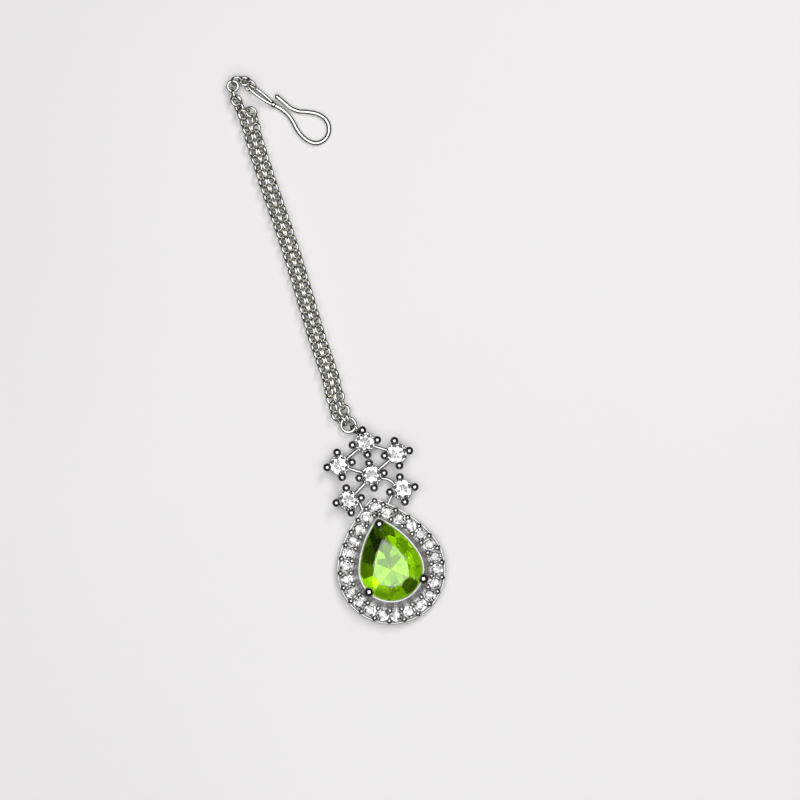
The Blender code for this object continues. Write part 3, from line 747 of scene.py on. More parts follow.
# %% Halo plate
PLATE_TOP = 1.5 * MM
CHANNEL_TOP = 1.37 * MM
CHANNEL_FOOT = 0.2 * MM
SEAT_GAP = 0.03 * MM
SEAT_RISE = 0.3 * MM
SEAT_SIDES = 24
FLAT_FACING = 0.95
PLATE_SECTION = (
    (1.36, 0.00), (1.40, 0.06), (1.40, 1.36), (1.385, 1.45), (1.33, 1.50), (1.26, 1.50),
    (1.20, 1.46), (1.17, 1.38), (1.14, 1.36), (-0.98, 1.36), (-1.02, 1.44), (-1.07, 1.47),
    (-1.13, 1.44), (-1.15, 1.38), (-1.15, 0.30), (-1.70, 0.10), (-1.70, 0.00),
)


def halo_plate():
    """Teardrop plate with its channel and a seat under each stone."""
    plate = ring_loft("halo_plate", [
        outline_ring(halo_point, offset, height) for offset, height in PLATE_SECTION])
    radius = HALO_STONE_D / 2 + SEAT_GAP
    seat = lathe("seat", [(0.0, -PAVILION_SHARE * radius), (radius, 0.0),
                          (radius, SEAT_RISE), (0.0, SEAT_RISE)], SEAT_SIDES)
    places = [Matrix.Translation(spot) for spot in halo_spots]
    return cut("halo_plate", plate, merged("seats", [seat] * len(places), places))


plate = mesh_object("halo_plate", halo_plate(), plate_metal, EDGE_SMOOTH)
for material in (painted_shade_channel_metal, seat_metal):
    plate.data.materials.append(material)
for face in plate.data.polygons:
    heights = [plate.data.vertices[i].co.z for i in face.vertices]
    level = max(heights) < CHANNEL_TOP and min(heights) > CHANNEL_FOOT
    if level and abs(face.normal.z) > SLOPE_FACING:
        # Flat upward faces of the channel get the painted shade metal, its sloping seat faces the
        # seat metal.
        face.material_index = 1 if face.normal.z > FLAT_FACING else 2
finish_piece(plate, "silver_metal", "pendant_frame")

# %% [markdown]
# ## The gallery
#
# A sloping wall rises from the halo to the pear gem and ends in a thin bright lip round the girdle.
# It is the same kind of loft, between the halo's inner outline and the gem's outline. The lip's
# heights count from the girdle.

# %% Gallery
LIP_SECTION = (
    (0.52, -0.30, 1.0), (0.50, -0.10, 1.0), (0.44, 0.04, 1.0), (0.34, 0.10, 1.0),
    (0.22, 0.10, 1.0), (0.12, 0.05, 1.0), (0.05, -0.06, 1.0), (0.06, -0.20, 1.0),
    (0.06, -0.40, 0.94),
)
lip = [outline_ring(gem_point, offset, GEM_GIRDLE_Z / MM + rise, scale)
       for offset, rise, scale in LIP_SECTION]
wall = ring_loft("gem_gallery", [outline_ring(halo_point, -1.10, 1.30), *lip,
                                 outline_ring(halo_point, -1.65, 0.80)])
metal_piece("gem_gallery", wall, gallery_metal, EDGE_SMOOTH)

# %% [markdown]
# ## Geometry Nodes for what repeats
#
# Grains, prongs and links all repeat along a line, so each gets a small Geometry Nodes tree with
# named sizes. A tree is built once, run on a plain line of points, and its result is turned into an
# ordinary mesh. Sizes are handed over by the identifier of each socket, because a modifier knows
# its inputs only by that.

# %% Tree helpers
def geometry_tree(name, *inputs):
    """Geometry tree with a geometry input, named inputs, a material and a geometry output."""
    return new_group(name, "GeometryNodeTree", (
        ("Geometry", "Geometry"), *inputs, ("Material", "Material")), (("Geometry", "Geometry"),))


def maths(tree, operation, first, second=None):
    """Output of a math node on two sockets or numbers."""
    values = {0: first} if second is None else {0: first, 1: second}
    return add(tree, "ShaderNodeMath", values, operation=operation).outputs[0]


def line_curve(tree, given):
    """Curve along the tree's line."""
    return add(tree, "GeometryNodeMeshToCurve", {0: given["Geometry"]}).outputs[0]


def circle(tree, sides, radius):
    """Circle as a curve."""
    return add(tree, "GeometryNodeCurvePrimitiveCircle", {
        "Resolution": sides, "Radius": radius}).outputs[0]


def swept(tree, curve, sides, diameter, caps=False):
    """Round wire of a diameter along a curve."""
    section = circle(tree, sides, maths(tree, "MULTIPLY", diameter, 0.5))
    return add(tree, "GeometryNodeCurveToMesh", {
        "Curve": curve, "Profile Curve": section, "Fill Caps": caps}).outputs[0]


def copies(tree, points, piece, **more):
    """Copies of a piece on points."""
    return add(tree, "GeometryNodeInstanceOnPoints", {
        "Points": points, "Instance": piece, **more}).outputs[0]


def close_tree(tree, geometry, given, result):
    """End a tree in Realize Instances, smooth shading and Set Material."""
    real = add(tree, "GeometryNodeRealizeInstances", {0: geometry}).outputs[0]
    smooth = add(tree, "GeometryNodeSetShadeSmooth", {"Geometry": real}).outputs[0]
    paint = add(tree, "GeometryNodeSetMaterial", {
        "Geometry": smooth, "Material": given["Material"]}).outputs[0]
    fill(tree, result, {0: paint})
    return tree


def line_mesh(points, closed=False):
    """Plain line of points joined by edges."""
    mesh = bpy.data.meshes.new("line")
    edges = [(i, i + 1) for i in range(len(points) - 1)]
    if closed:
        edges.append((len(points) - 1, 0))
    mesh.from_pydata([tuple(point) for point in points], edges, [])
    return mesh


def run_tree(name, source_mesh, tree, values):
    """Run a tree on a mesh and return the result as a plain mesh."""
    obj = in_scene(name, source_mesh)
    modifier = obj.modifiers.new("Make", "NODES")
    modifier.node_group = tree
    for item in tree.interface.items_tree:
        if item.in_out == "INPUT" and item.name in values:
            modifier[item.identifier] = values[item.name]
    mesh = evaluated(obj)
    mesh.name = name
    bpy.data.objects.remove(obj, do_unlink=True)
    return mesh


print("tree helpers are ready")

# %% [markdown]
# ## Bead grains
#
# Between every two stones of the halo the setter raised two small beads of metal, one at the outer
# edge and one at the inner edge, and pushed them over the stones. The tree walks the line of
# stones in half steps, keeps every second point, and puts a bead on each side of the line. One
# more bead closes the row at the tip.

# %% Bead grains
GRAIN_D = 0.92 * MM
GRAIN_Z = 1.58 * MM
GRAIN_OUTER, GRAIN_INNER = 0.88 * MM, -0.84 * MM
GRAIN_SIDES, GRAIN_RINGS = 16, 10
TIP_GRAIN_OFFSET = Vector((0.2, 1.06, 0.1)) * MM


def grain_tree():
    """Beads in pairs on both sides of a closed line, halfway between its steps."""
    tree, given, result = geometry_tree(
        "bead_grains", ("Stones", "Int"), ("Outer Offset", "Float"), ("Inner Offset", "Float"),
        ("Bead Diameter", "Float"))
    steps = add(tree, "GeometryNodeResampleCurve", {
        "Curve": line_curve(tree, given),
        "Count": maths(tree, "MULTIPLY", given["Stones"], 2.0)}).outputs[0]
    way = add(tree, "GeometryNodeInputTangent").outputs[0]
    across = add(tree, "ShaderNodeVectorMath", {0: way, 1: (0.0, 0.0, -1.0)},
                 operation="CROSS_PRODUCT").outputs[0]
    odd = maths(tree, "MODULO", add(tree, "GeometryNodeInputIndex").outputs[0], 2.0)
    ball = add(tree, "GeometryNodeMeshUVSphere", {
        "Segments": GRAIN_SIDES, "Rings": GRAIN_RINGS,
        "Radius": maths(tree, "MULTIPLY", given["Bead Diameter"], 0.5)}).outputs["Mesh"]
    join = add(tree, "GeometryNodeJoinGeometry")
    for label in ("Outer Offset", "Inner Offset"):
        away = add(tree, "ShaderNodeVectorMath", {0: across, "Scale": given[label]},
                   operation="SCALE").outputs[0]
        row = add(tree, "GeometryNodeSetPosition", {"Geometry": steps, "Offset": away}).outputs[0]
        fill(tree, join, {0: copies(tree, row, ball, Selection=odd)})
    return close_tree(tree, join.outputs[0], given, result)


stone_line = [halo_point(angle, 0.0, GRAIN_Z) for angle in outline_angles]
grains = run_tree("halo_grains", line_mesh(stone_line, True), grain_tree(), {
    "Stones": len(halo_spots), "Outer Offset": GRAIN_OUTER, "Inner Offset": GRAIN_INNER,
    "Bead Diameter": GRAIN_D, "Material": prong_metal})
tip_grain = lathe("tip_grain", rounded(GRAIN_D / 2, GRAIN_D / 2, GRAIN_RINGS), GRAIN_SIDES)
grains = merged("halo_grains", [grains, tip_grain],
                [Matrix.Identity(4), Matrix.Translation(halo_spots[0] + TIP_GRAIN_OFFSET)])
metal_piece("halo_grains", grains, prong_metal, ROUND_SMOOTH)

# %% [markdown]
# ## Ball prongs
#
# Each cluster stone is held by four prongs that end in polished balls, and the pear gem by three
# larger ones. A prong is a leaning stem with a ball on its end, so one lathe profile serves all.
# The cluster's prongs are placed by a tree: four round each of six points.

# %% Gem prongs
GEM_PRONG_D = 1.62 * MM
GEM_STEM_D = 0.85 * MM
GEM_PRONG_DROP = math.radians(31.0)
GEM_PRONG_REACH = ((math.pi / 2, -0.75), (-GEM_PRONG_DROP, 0.50), (math.pi + GEM_PRONG_DROP, 0.20))
GEM_FOOT_OUT = 0.85 * MM
GEM_FOOT_Z = 0.8 * PLATE_TOP
BALL_STEPS = 14
PRONG_SIDES = 28
STEM_TAPER = 1.05


def ball_profile(length, ball_r, stem_r):
    """Profile of a stem with a ball on its end, from the top down."""
    end = math.pi - math.asin(stem_r / ball_r)
    ball = rounded(ball_r, ball_r, BALL_STEPS, end, length)
    return ball + [(stem_r * STEM_TAPER, 0.0), (0.0, 0.0)]


def leaning_prong(foot, top, ball_d, stem_d):
    """Ball prong from foot to top."""
    rise = top - foot
    profile = ball_profile(rise.length, ball_d / 2, stem_d / 2)
    return aimed(lathe("prong", profile, PRONG_SIDES), foot, rise)


gem_prongs = []
for angle, reach in GEM_PRONG_REACH:
    top = gem_point(angle, 0.0, GEM_GIRDLE_Z + GEM_PRONG_D / 2)
    top += Vector((math.cos(angle), math.sin(angle), 0.0)) * reach * MM
    foot = gem_point(angle, GEM_FOOT_OUT, GEM_FOOT_Z)
    gem_prongs.append(leaning_prong(foot, top, GEM_PRONG_D, GEM_STEM_D))
metal_piece("gem_prongs", merged("gem_prongs", gem_prongs), prong_metal, ROUND_SMOOTH)

# %% Cluster prongs
CLUSTER_TURN = math.radians(3.2)
CUP_HEIGHT = 1.7 * MM
CUP_FOOT_D = 1.9 * MM
PRONG_BALL_D = 1.2 * MM
PRONG_BALL_SHOWN = 1.1 * PRONG_BALL_D
PRONG_BALL_RISE = 0.47 * MM
PRONG_STEM_D = 0.6 * MM
PRONG_FOOT_OUT = 0.09 * MM


def prong_tree():
    """Four copies of a prong mesh round every point, turned a quarter each."""
    tree, given, result = geometry_tree(
        "four_prongs", ("Prong", "Object"), ("First Turn", "Float"))
    prong = add(tree, "GeometryNodeObjectInfo", {"Object": given["Prong"]}).outputs["Geometry"]
    join = add(tree, "GeometryNodeJoinGeometry")
    for quarter in range(4):
        turn = add(tree, "ShaderNodeCombineXYZ", {
            "Z": maths(tree, "ADD", given["First Turn"], quarter * math.pi / 2)})
        fill(tree, join, {
            0: copies(tree, given["Geometry"], prong, Rotation=turn.outputs[0])})
    return close_tree(tree, join.outputs[0], given, result)


stone_r = CLUSTER_STONE_D / 2
flat_reach = stone_r * math.cos(math.pi / MAINS) + PRONG_BALL_D / 2
one_prong = leaning_prong(
    Vector((CUP_FOOT_D / 2 + PRONG_FOOT_OUT, 0.0, PRONG_STEM_D / 2)),
    Vector((flat_reach, 0.0, CUP_HEIGHT + PRONG_BALL_RISE)), PRONG_BALL_SHOWN, PRONG_STEM_D)
prong_holder = in_scene("one_prong", one_prong)
cup_feet = [Vector((spot.x, spot.y, 0.0)) for spot in cluster_spots]
prongs = run_tree("cluster_prongs", line_mesh(cup_feet), prong_tree(), {
    "Prong": prong_holder, "First Turn": -CLUSTER_TURN, "Material": prong_metal})
bpy.data.objects.remove(prong_holder, do_unlink=True)
metal_piece("cluster_prongs", prongs, prong_metal, ROUND_SMOOTH)

# %% [markdown]
# ## Cups, bars and bail
#
# Under each cluster stone is a small open cone of metal, the cup. Thin bars of round wire join cup
# to cup and the lowest cups to the halo. A round wire is one tree: a line made a curve, swept with
# a circle, with its ends filled. The bail, the chain's rings and the hook use the same tree.

# %% Cups
CUP_SIDES = 40
CUP_SMOOTH = 40
GIRDLE_OVER_CUP = 0.2 * MM
CUP_CLEARANCE = 0.10 * MM
CUP_LIP = ((0.0, 0.0), (0.10, 0.06), (0.22, 0.0), (0.20, -0.14))
CUP_BASE = ((0.0, 0.06), (-0.06, 0.0), (-0.30, 0.0))
seat_r = stone_r - GIRDLE_OVER_CUP / PAVILION_SHARE + CUP_CLEARANCE
foot_r = CUP_FOOT_D / 2
cup_shape = lathe("cup", [
    *[(seat_r + out * MM, CUP_HEIGHT + rise * MM) for out, rise in CUP_LIP],
    *[(foot_r + out * MM, rise * MM) for out, rise in CUP_BASE], (seat_r, CUP_HEIGHT)], CUP_SIDES)
cups = merged("cluster_cups", [cup_shape] * len(cup_feet),
              [Matrix.Translation(foot) for foot in cup_feet])
metal_piece("cluster_cups", cups, plate_metal, CUP_SMOOTH)


# %% Round wire
def wire_tree():
    """Round wire along a line."""
    tree, given, result = geometry_tree("round_wire", ("Diameter", "Float"), ("Sides", "Int"))
    wire = swept(tree, line_curve(tree, given), given["Sides"], given["Diameter"], True)
    return close_tree(tree, wire, given, result)


round_wire = wire_tree()
BAR_SIDES = 14


def wire_mesh(name, points, diameter, material, closed=False, sides=BAR_SIDES):
    """Round wire along points."""
    return run_tree(name, line_mesh(points, closed), round_wire, {
        "Diameter": diameter, "Sides": sides, "Material": material})


# %% Bars
BAR_D = 0.52 * MM
BAR_Z = 0.8 * MM
BAR_BOW = 0.6 * MM
BAR_STEPS = 12
HALO_BAR_START = 1.5 * MM
HALO_BAR_END = 0.98 * MM
BARS = ((1, 2, 0.0), (1, 3, 0.0), (3, 4, 0.0), (2, 4, 0.0), (4, 5, 1.0), (4, 6, 0.0))
bars = []
cup_r = foot_r + (stone_r - foot_r) * BAR_Z / CUP_HEIGHT
for first, second, bow in BARS:
    start, end = cup_feet[first - 1].copy(), cup_feet[second - 1].copy()
    way = (end - start).normalized()
    start += way * (cup_r - BAR_D / 2)
    end -= way * (cup_r - BAR_D / 2)
    side = Vector((-way.y, way.x, 0.0)) * BAR_BOW * bow
    points = []
    for k in range(BAR_STEPS + 1):
        point = start.lerp(end, k / BAR_STEPS) + side * math.sin(math.pi * k / BAR_STEPS)
        points.append((point.x, point.y, BAR_Z))
    bars.append(wire_mesh("bar", points, BAR_D, plate_metal))
for foot, side, stone in ((cup_feet[4], -1.0, halo_spots[1]), (cup_feet[5], 1.0, halo_spots[-1])):
    turn = Matrix.Rotation(-CLUSTER_TURN, 3, "Z")
    start = foot + turn @ Vector((side * HALO_BAR_START, 0.0, BAR_Z))
    out = (stone - lobe_middle)
    out.z = 0.0
    end = stone + out.normalized() * HALO_BAR_END
    end.z = BAR_Z
    bars.append(wire_mesh("bar", [start, end], BAR_D, plate_metal))
metal_piece("cluster_bars", merged("cluster_bars", bars), plate_metal, WIRE_SMOOTH)

# %% [markdown]
# ## Where the chain starts
#
# The chain, its rings and the hook are placed from one point on the table under the middle of the
# bail. Routes are short lists of chosen points in millimetres from there, with their height. A
# smooth curve through them gives the wire or the line that the links follow.

# %% Routes
BAIL_OFFSET = Vector((-1.086, 2.690, 1.068)) * MM
bail_spot = cup_feet[0] + Vector((BAIL_OFFSET.x, BAIL_OFFSET.y, 0.0))
ROUTE_STEPS = 12
RING_STEPS = 48
RING_SIDES = 16


def smooth_route(points):
    """Dense points of a smooth curve through chosen ones, in metres from the bail's foot."""
    line = [bail_spot + Vector(point) * MM for point in points]
    line = [line[0] * 2 - line[1]] + line + [line[-1] * 2 - line[-2]]
    dense = []
    for before, start, end, after in zip(line, line[1:], line[2:], line[3:]):
        for k in range(ROUTE_STEPS):
            t = k / ROUTE_STEPS
            dense.append(0.5 * (2 * start + (end - before) * t
                                + (2 * before - 5 * start + 4 * end - after) * t ** 2
                                + (3 * start - before - 3 * end + after) * t ** 3))
    dense.append(line[-2])
    return dense


def ring_matrix(centre, way, roll):
    """Placing of a ring whose plane holds the way and is rolled about it, 0 lying flat."""
    x = way.normalized()
    flat = Vector((0.0, 0.0, 1.0)).cross(x).normalized()
    up = x.cross(flat)
    y = flat * math.cos(roll) + up * math.sin(roll)
    turn = Matrix((x, y, x.cross(y))).transposed()
    return Matrix.Translation(centre) @ turn.to_4x4()


def ring_wire(name, place, ring_d, wire_d, material):
    """Round ring of round wire at a place, measured over its outside."""
    radius = (ring_d - wire_d) / 2
    points = [place @ Vector((radius * math.cos(t), radius * math.sin(t), 0.0))
              for t in around(RING_STEPS)]
    return wire_mesh(name, points, wire_d, material, True, RING_SIDES)


def headed(middle, heading, roll):
    """Placing of a ring from its middle in millimetres, heading and roll in degrees."""
    way = Vector((math.cos(math.radians(heading)), math.sin(math.radians(heading)), 0.0))
    return ring_matrix(bail_spot + Vector(middle) * MM, way, math.radians(roll))


print("bail spot in mm:", [round(value / MM, 2) for value in bail_spot])

# %% Bail and rings
BAIL_RING_D = 1.90 * MM
BAIL_WIRE_D = 0.42 * MM
BAIL_HEADING, BAIL_ROLL = 117.0, -60.8
POST_REACH = 0.2 * MM
RINGS = (  # name, middle in mm, heading, roll, ring and wire diameters in mm
    ("jump_ring", (-0.820, 0.903, 0.989), -40.2, -0.5, 2.90, 0.50),
    ("hook_ring", (-2.329, 60.057, 1.247), 131.6, 131.2, 2.44, 0.40),
)
bail_place = headed((0.0, 0.0, BAIL_OFFSET.z / MM), BAIL_HEADING, BAIL_ROLL)
near = bail_place @ Vector((-(BAIL_RING_D - BAIL_WIRE_D) / 2, 0.0, 0.0))
away = (cup_feet[0] - bail_spot).normalized()
foot = cup_feet[0] - away * (foot_r + POST_REACH)
foot.z = BAR_Z
bail = merged("bail", [ring_wire("bail", bail_place, BAIL_RING_D, BAIL_WIRE_D, plate_metal),
                       wire_mesh("bail_post", [near, foot], BAIL_WIRE_D, plate_metal)])
metal_piece("bail", bail, plate_metal, WIRE_SMOOTH)
for name, middle, heading, roll, ring_d, wire_d in RINGS:
    ring = ring_wire(name + "_wire", headed(middle, heading, roll), ring_d * MM, wire_d * MM,
                     chain_metal)
    metal_piece(name + "_wire", ring, chain_metal, WIRE_SMOOTH, name)

# %% [markdown]
# ## The chain
#
# Two strands of round links lie side by side, pressed together. Every link is turned about a
# quarter against its neighbour, and the strands mirror each other, so that their inner links cross
# in a row of bright marks. A small shift along the route keeps the strands in step. The tree walks
# the route in even steps of one link, lays a ring along the way at each step, and rolls it one way
# or the other. The last links turn a little further, so that they pass cleanly through their rings.

# %% Link tree
LOOP_STEPS = 36
LINK_SIDES = 12


def link_tree():
    """Round links along a line, rolled to one side and the other in turn."""
    tree, given, result = geometry_tree("round_links", *((label, "Float") for label in (
        "Wire Diameter", "Link Radius", "Pitch", "Roll", "First Twist", "Last Twist",
        "Twist Links", "Shift")))
    calc = partial(maths, tree)
    curve = line_curve(tree, given)
    length = add(tree, "GeometryNodeCurveLength", {0: curve}).outputs[0]
    last = calc("ROUND", calc("DIVIDE", length, given["Pitch"]))
    row = add(tree, "GeometryNodeMeshLine", {"Count": calc("ADD", last, 1.0)}).outputs[0]
    index = add(tree, "GeometryNodeInputIndex").outputs[0]
    ahead = calc("SUBTRACT", last, index)
    ends = [calc("DIVIDE", place, given["Twist Links"]) for place in (index, ahead)]
    middle = calc("MULTIPLY", *[calc("MINIMUM", end, 1.0) for end in ends])
    along = calc("ADD", calc("MULTIPLY", middle, given["Shift"]),
                 calc("MULTIPLY", index, calc("DIVIDE", length, last)))
    spot = add(tree, "GeometryNodeSampleCurve", {"Curves": curve, "Length": along},
               mode="LENGTH").outputs
    steps = add(tree, "GeometryNodeSetPosition", {"Geometry": row, "Position": spot["Position"]})
    axes = add(tree, "FunctionNodeAxesToRotation", {
        "Primary Axis": spot["Tangent"], "Secondary Axis": (0.0, 0.0, 1.0)},
        primary_axis="X", secondary_axis="Z")
    sign = calc("SUBTRACT", calc("MULTIPLY", calc("MODULO", index, 2.0), 2.0), 1.0)
    roll = calc("MULTIPLY", sign, given["Roll"])
    for label, end in zip(("First Twist", "Last Twist"), ends):
        share = calc("MAXIMUM", calc("SUBTRACT", 1.0, end), 0.0)
        roll = calc("ADD", roll, calc("MULTIPLY", share, given[label]))
    twist = add(tree, "FunctionNodeAxisAngleToRotation", {"Axis": (1.0, 0.0, 0.0), "Angle": roll})
    both = add(tree, "FunctionNodeRotateRotation", {
        "Rotation": axes.outputs[0], "Rotate By": twist.outputs[0]}, rotation_space="LOCAL")
    loop = circle(tree, LOOP_STEPS, given["Link Radius"])
    link = swept(tree, loop, LINK_SIDES, given["Wire Diameter"])
    chain = copies(tree, steps.outputs[0], link, Rotation=both.outputs[0])
    return close_tree(tree, chain, given, result)


round_links = link_tree()
print("link tree nodes:", len(round_links.nodes))

# %% The two strands
CHAIN_WIRE_D = 0.50 * MM
LINK_PITCH = 1.31 * MM
LINK_RADIUS = 0.86 * MM
LINK_ROLL = math.radians(52.0)
TWIST_LINKS = 5.0
LINK_SHIFT = 0.20 * MM
STRAND_SQUEEZE = 0.09 * MM
STRAND_LIFT = 0.07 * MM
END_POINTS = 24
LEFT_ROUTE = (
    (-1.69, 1.86, 0.90), (-2.41, 2.95, 0.87), (-2.58, 4.92, 0.86), (-2.60, 7.02, 0.86),
    (-2.51, 9.57, 0.86), (-2.98, 16.27, 0.86), (-3.21, 22.93, 0.86), (-3.41, 29.05, 0.86),
    (-3.79, 35.75, 0.86), (-4.31, 42.47, 0.86), (-4.67, 49.17, 0.86), (-4.79, 53.52, 0.86),
    (-5.08, 57.12, 0.92), (-5.45, 59.12, 0.95), (-5.33, 60.47, 1.15), (-4.56, 61.40, 1.36),
    (-3.03, 60.99, 1.27),
)
RIGHT_ROUTE = (
    (-0.63, 2.14, 1.07), (-0.85, 3.43, 1.00), (-0.95, 4.90, 0.91), (-0.96, 7.02, 0.86),
    (-0.89, 9.57, 0.86), (-1.36, 16.27, 0.86), (-1.59, 22.93, 0.86), (-1.79, 29.05, 0.86),
    (-2.17, 35.75, 0.86), (-2.69, 42.47, 0.86), (-3.04, 48.52, 0.86), (-3.13, 52.72, 0.86),
    (-2.95, 54.60, 0.98), (-3.28, 55.72, 1.18), (-4.39, 56.41, 1.27),
)
for name, route, side, first_twist, last_twist in (
        ("chain_left", LEFT_ROUTE, 1.0, -9.2, -89.2),
        ("chain_right", RIGHT_ROUTE, -1.0, 35.3, 20.0)):
    line = smooth_route(route)
    for k, point in enumerate(line):
        inside = min(k / END_POINTS, (len(line) - 1 - k) / END_POINTS, 1.0)
        point.x += side * STRAND_SQUEEZE * inside
        point.z += STRAND_LIFT * inside
    strand = run_tree(name + "_links", line_mesh(line), round_links, {
        "Wire Diameter": CHAIN_WIRE_D, "Link Radius": LINK_RADIUS, "Pitch": LINK_PITCH,
        "Roll": LINK_ROLL * side, "First Twist": math.radians(first_twist),
        "Last Twist": math.radians(last_twist), "Twist Links": TWIST_LINKS,
        "Shift": LINK_SHIFT * side, "Material": chain_metal})
    metal_piece(name + "_links", strand, chain_metal, ROUND_SMOOTH, name)

# %% [markdown]
# ## The hair hook
#
# The hook is one length of springy wire: a long narrow eye at the chain, a small collar where the
# wire closes on itself, and an open loop that ends in a rounded tip.

# %% Hook
HOOK_WIRE_D = 0.70 * MM
EYE_WIRE_D = 0.50 * MM
EYE_TILT = math.radians(39.4)
EYE_WIDTH = 1.74 * MM
EYE_STEPS = 60
EYE_NARROW, EYE_SPREAD = 0.7, 0.4
EYE_END = Vector((-2.65, 60.16, 1.10)) * MM
SHANK_SIDES, EYE_SIDES = 20, 18
COLLAR_D, COLLAR_LENGTH = 0.98 * MM, 1.1 * MM
KNOB_STEPS, KNOB_SIDES = 12, 24
HOOK_TIP_D = 0.78 * MM
SHANK_ROUTE = (
    (0.64, 56.08, 0.62), (1.74, 55.02, 0.40), (2.62, 53.75, 0.36), (3.11, 52.33, 0.36),
    (3.53, 50.67, 0.36), (4.34, 49.16, 0.36), (5.46, 48.18, 0.36), (6.61, 47.96, 0.36),
    (7.77, 48.44, 0.36), (8.48, 49.37, 0.36), (8.69, 50.61, 0.36), (8.24, 51.85, 0.36),
    (7.20, 52.81, 0.36), (5.82, 53.46, 0.36), (4.40, 53.97, 0.33), (3.25, 54.83, 0.48),
    (2.36, 56.06, 0.70), (1.57, 57.16, 0.90),
)
shank = smooth_route(SHANK_ROUTE)
eye_way = bail_spot + EYE_END - shank[0]
eye_place = ring_matrix(shank[0], eye_way, EYE_TILT)
eye = []
for angle in around(EYE_STEPS):
    share = (1 - math.cos(angle)) / 2
    half_width = (EYE_WIDTH - EYE_WIRE_D) / 2 * (EYE_NARROW + EYE_SPREAD * share)
    eye.append(eye_place @ Vector((eye_way.length * share, half_width * math.sin(angle), 0.0)))


def knob(spot, way, diameter, length):
    """Rounded collar or tip along a way."""
    profile = rounded(diameter / 2, length / 2, KNOB_STEPS)
    return aimed(lathe("knob", profile, KNOB_SIDES), spot, way)


hook = merged("hair_hook", [
    wire_mesh("shank", shank, HOOK_WIRE_D, hook_metal, False, SHANK_SIDES),
    wire_mesh("eye", eye, EYE_WIRE_D, hook_metal, True, EYE_SIDES),
    knob(shank[0], shank[3] - shank[0], COLLAR_D, COLLAR_LENGTH),
    knob(shank[-1], shank[-1] - shank[-2], HOOK_TIP_D, HOOK_TIP_D)])
metal_piece("hair_hook", hook, hook_metal, WIRE_SMOOTH, "hook")

# %% [markdown]
# ## Table, lights and camera
#
# The jewel lies on a pale matt table under one large soft card, with a small window light from the
# side. Polished metal shows its surroundings, so the room matters as much as the lamp: the card is
# bright, and everything else looks dark in a reflection. The table gets a painted dark reflection:
# it is nearly black to reflected rays and rays through stones. That gives every ball its white
# middle and black ring.

# %% Table
TABLE_LIGHT = (0.86, 0.845, 0.845, 1.0)
TABLE_DEEP = (0.83, 0.815, 0.815, 1.0)
TABLE_PAINTED_REFLECTION = (0.04, 0.039, 0.038, 1.0)
TABLE_CLOUD_SCALE = 14.0
TABLE_ROUGHNESS = 0.7
TABLE_HALF = 0.45
TABLE_DROP = 0.02 * MM


def table_finish():
    """Pale matt surface with a very faint unevenness, and a painted dark reflection: nearly black to
    reflected rays and rays through stones.
    """
    material, tree, shader, place = new_material("pale_table")
    tone = mixed(tree, noise(tree, place, TABLE_CLOUD_SCALE), TABLE_LIGHT, TABLE_DEEP)
    ray = add(tree, "ShaderNodeLightPath").outputs
    # Painted reflection: reflected and transmitted rays see a nearly black table.
    painted_reflection_rays = maths(tree, "MAXIMUM", ray["Is Glossy Ray"], ray["Is Transmission Ray"])
    fill(tree, shader, {
        "Roughness": TABLE_ROUGHNESS,
        "Base Color": mixed(tree, painted_reflection_rays, tone, TABLE_PAINTED_REFLECTION)})
    return material


table_mesh = bpy.data.meshes.new("table")
table_mesh.from_pydata(
    [(x * TABLE_HALF, y * TABLE_HALF, 0.0) for x, y in ((-1, -1), (1, -1), (1, 1), (-1, 1))],
    [], [(0, 1, 2, 3)])
table = mesh_object("table", table_mesh, table_finish())
table.location.z = -TABLE_DROP
print("table:", 2 * TABLE_HALF, "m wide")


# %% Lights
def soft_light(name, place, target, size, power):
    """Square area light aimed at a target and hidden from the camera itself."""
    data = bpy.data.lights.new(name, "AREA")
    data.shape = "SQUARE"
    data.size = size
    data.energy = power
    obj = in_scene(name, data)
    obj.location = place
    obj.rotation_mode = "QUATERNION"
    obj.rotation_quaternion = (Vector(target) - Vector(place)).to_track_quat("-Z", "Y")
    obj.visible_camera = False
    return obj


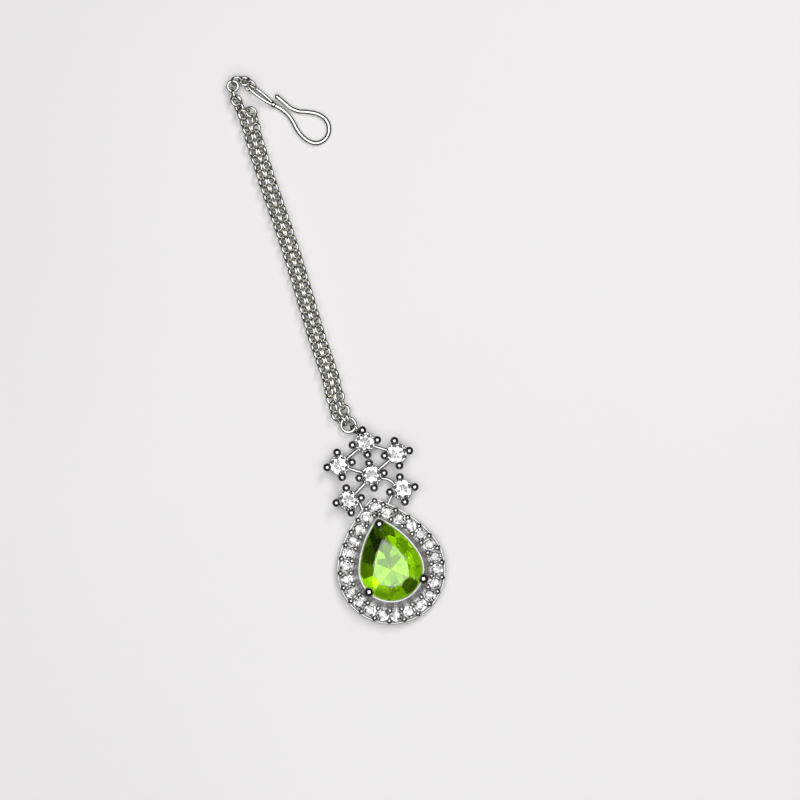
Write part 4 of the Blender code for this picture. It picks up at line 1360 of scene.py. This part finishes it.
soft_light("overhead_card", place=(0.0, -0.08, 0.42), target=(0.0, -0.08, 0.0),
           size=0.62, power=2.50)
window = soft_light("side_window", place=(0.24, 0.22, 0.36), target=(0.0, 0.0, 0.0),
                    size=0.16, power=0.58)
window.visible_glossy = False
window.visible_transmission = False
print("lights:", len(bpy.data.lights))

# %% Room
ROOM_DARK = (0.008, 0.008, 0.009, 1.0)
ROOM_PALE_SIDE = (-0.15, 0.99, 0.0)
ROOM_FALL = 0.6
ROOM_FAR, ROOM_NEAR = 0.02, 1.0


def dim_room():
    """Dark room that is paler on one side for the light that leaves a stone."""
    world = bpy.data.worlds.new("dim_room")
    world.use_nodes = True
    tree = world.node_tree
    place = add(tree, "ShaderNodeTexCoord").outputs["Generated"]
    side = add(tree, "ShaderNodeVectorMath", {0: place, 1: ROOM_PALE_SIDE},
               operation="DOT_PRODUCT").outputs["Value"]
    ray = add(tree, "ShaderNodeLightPath").outputs["Is Transmission Ray"]
    pale = spread(tree, side, -ROOM_FALL, ROOM_FALL, ROOM_FAR, ROOM_NEAR)
    room = mixed(tree, ray, ROOM_DARK, pale)
    fill(tree, tree.nodes["Background"], {"Color": room})
    return world


bpy.context.scene.world = dim_room()
bpy.context.scene.view_settings.view_transform = "Standard"
print("world:", bpy.context.scene.world.name)

# %% Camera
ELEVATION = math.radians(86.0)
SCREEN_TURN = math.radians(SCREEN_LEAN)
VIEW_MIDDLE = Vector((8.56, -11.58, 0.0)) * MM
VIEW_WIDTH = 133.3 * MM
DISTANCE = 0.75
SENSOR = 36.0
NEAREST = 0.01
up_way = Vector((math.sin(SCREEN_TURN), math.cos(SCREEN_TURN), 0.0))
back = Vector((0.0, 0.0, math.sin(ELEVATION))) - up_way * math.cos(ELEVATION)
right = Vector((math.cos(SCREEN_TURN), -math.sin(SCREEN_TURN), 0.0))
camera_data = bpy.data.cameras.new("photo_view")
camera_data.sensor_width = SENSOR
camera_data.lens = SENSOR * DISTANCE / VIEW_WIDTH
camera_data.clip_start = NEAREST
camera = in_scene("photo_view", camera_data)
turn = Matrix((right, back.cross(right), back)).transposed()
camera.matrix_world = Matrix.Translation(VIEW_MIDDLE + back * DISTANCE) @ turn.to_4x4()
bpy.context.scene.camera = camera
print("lens:", round(camera_data.lens, 1), "mm")
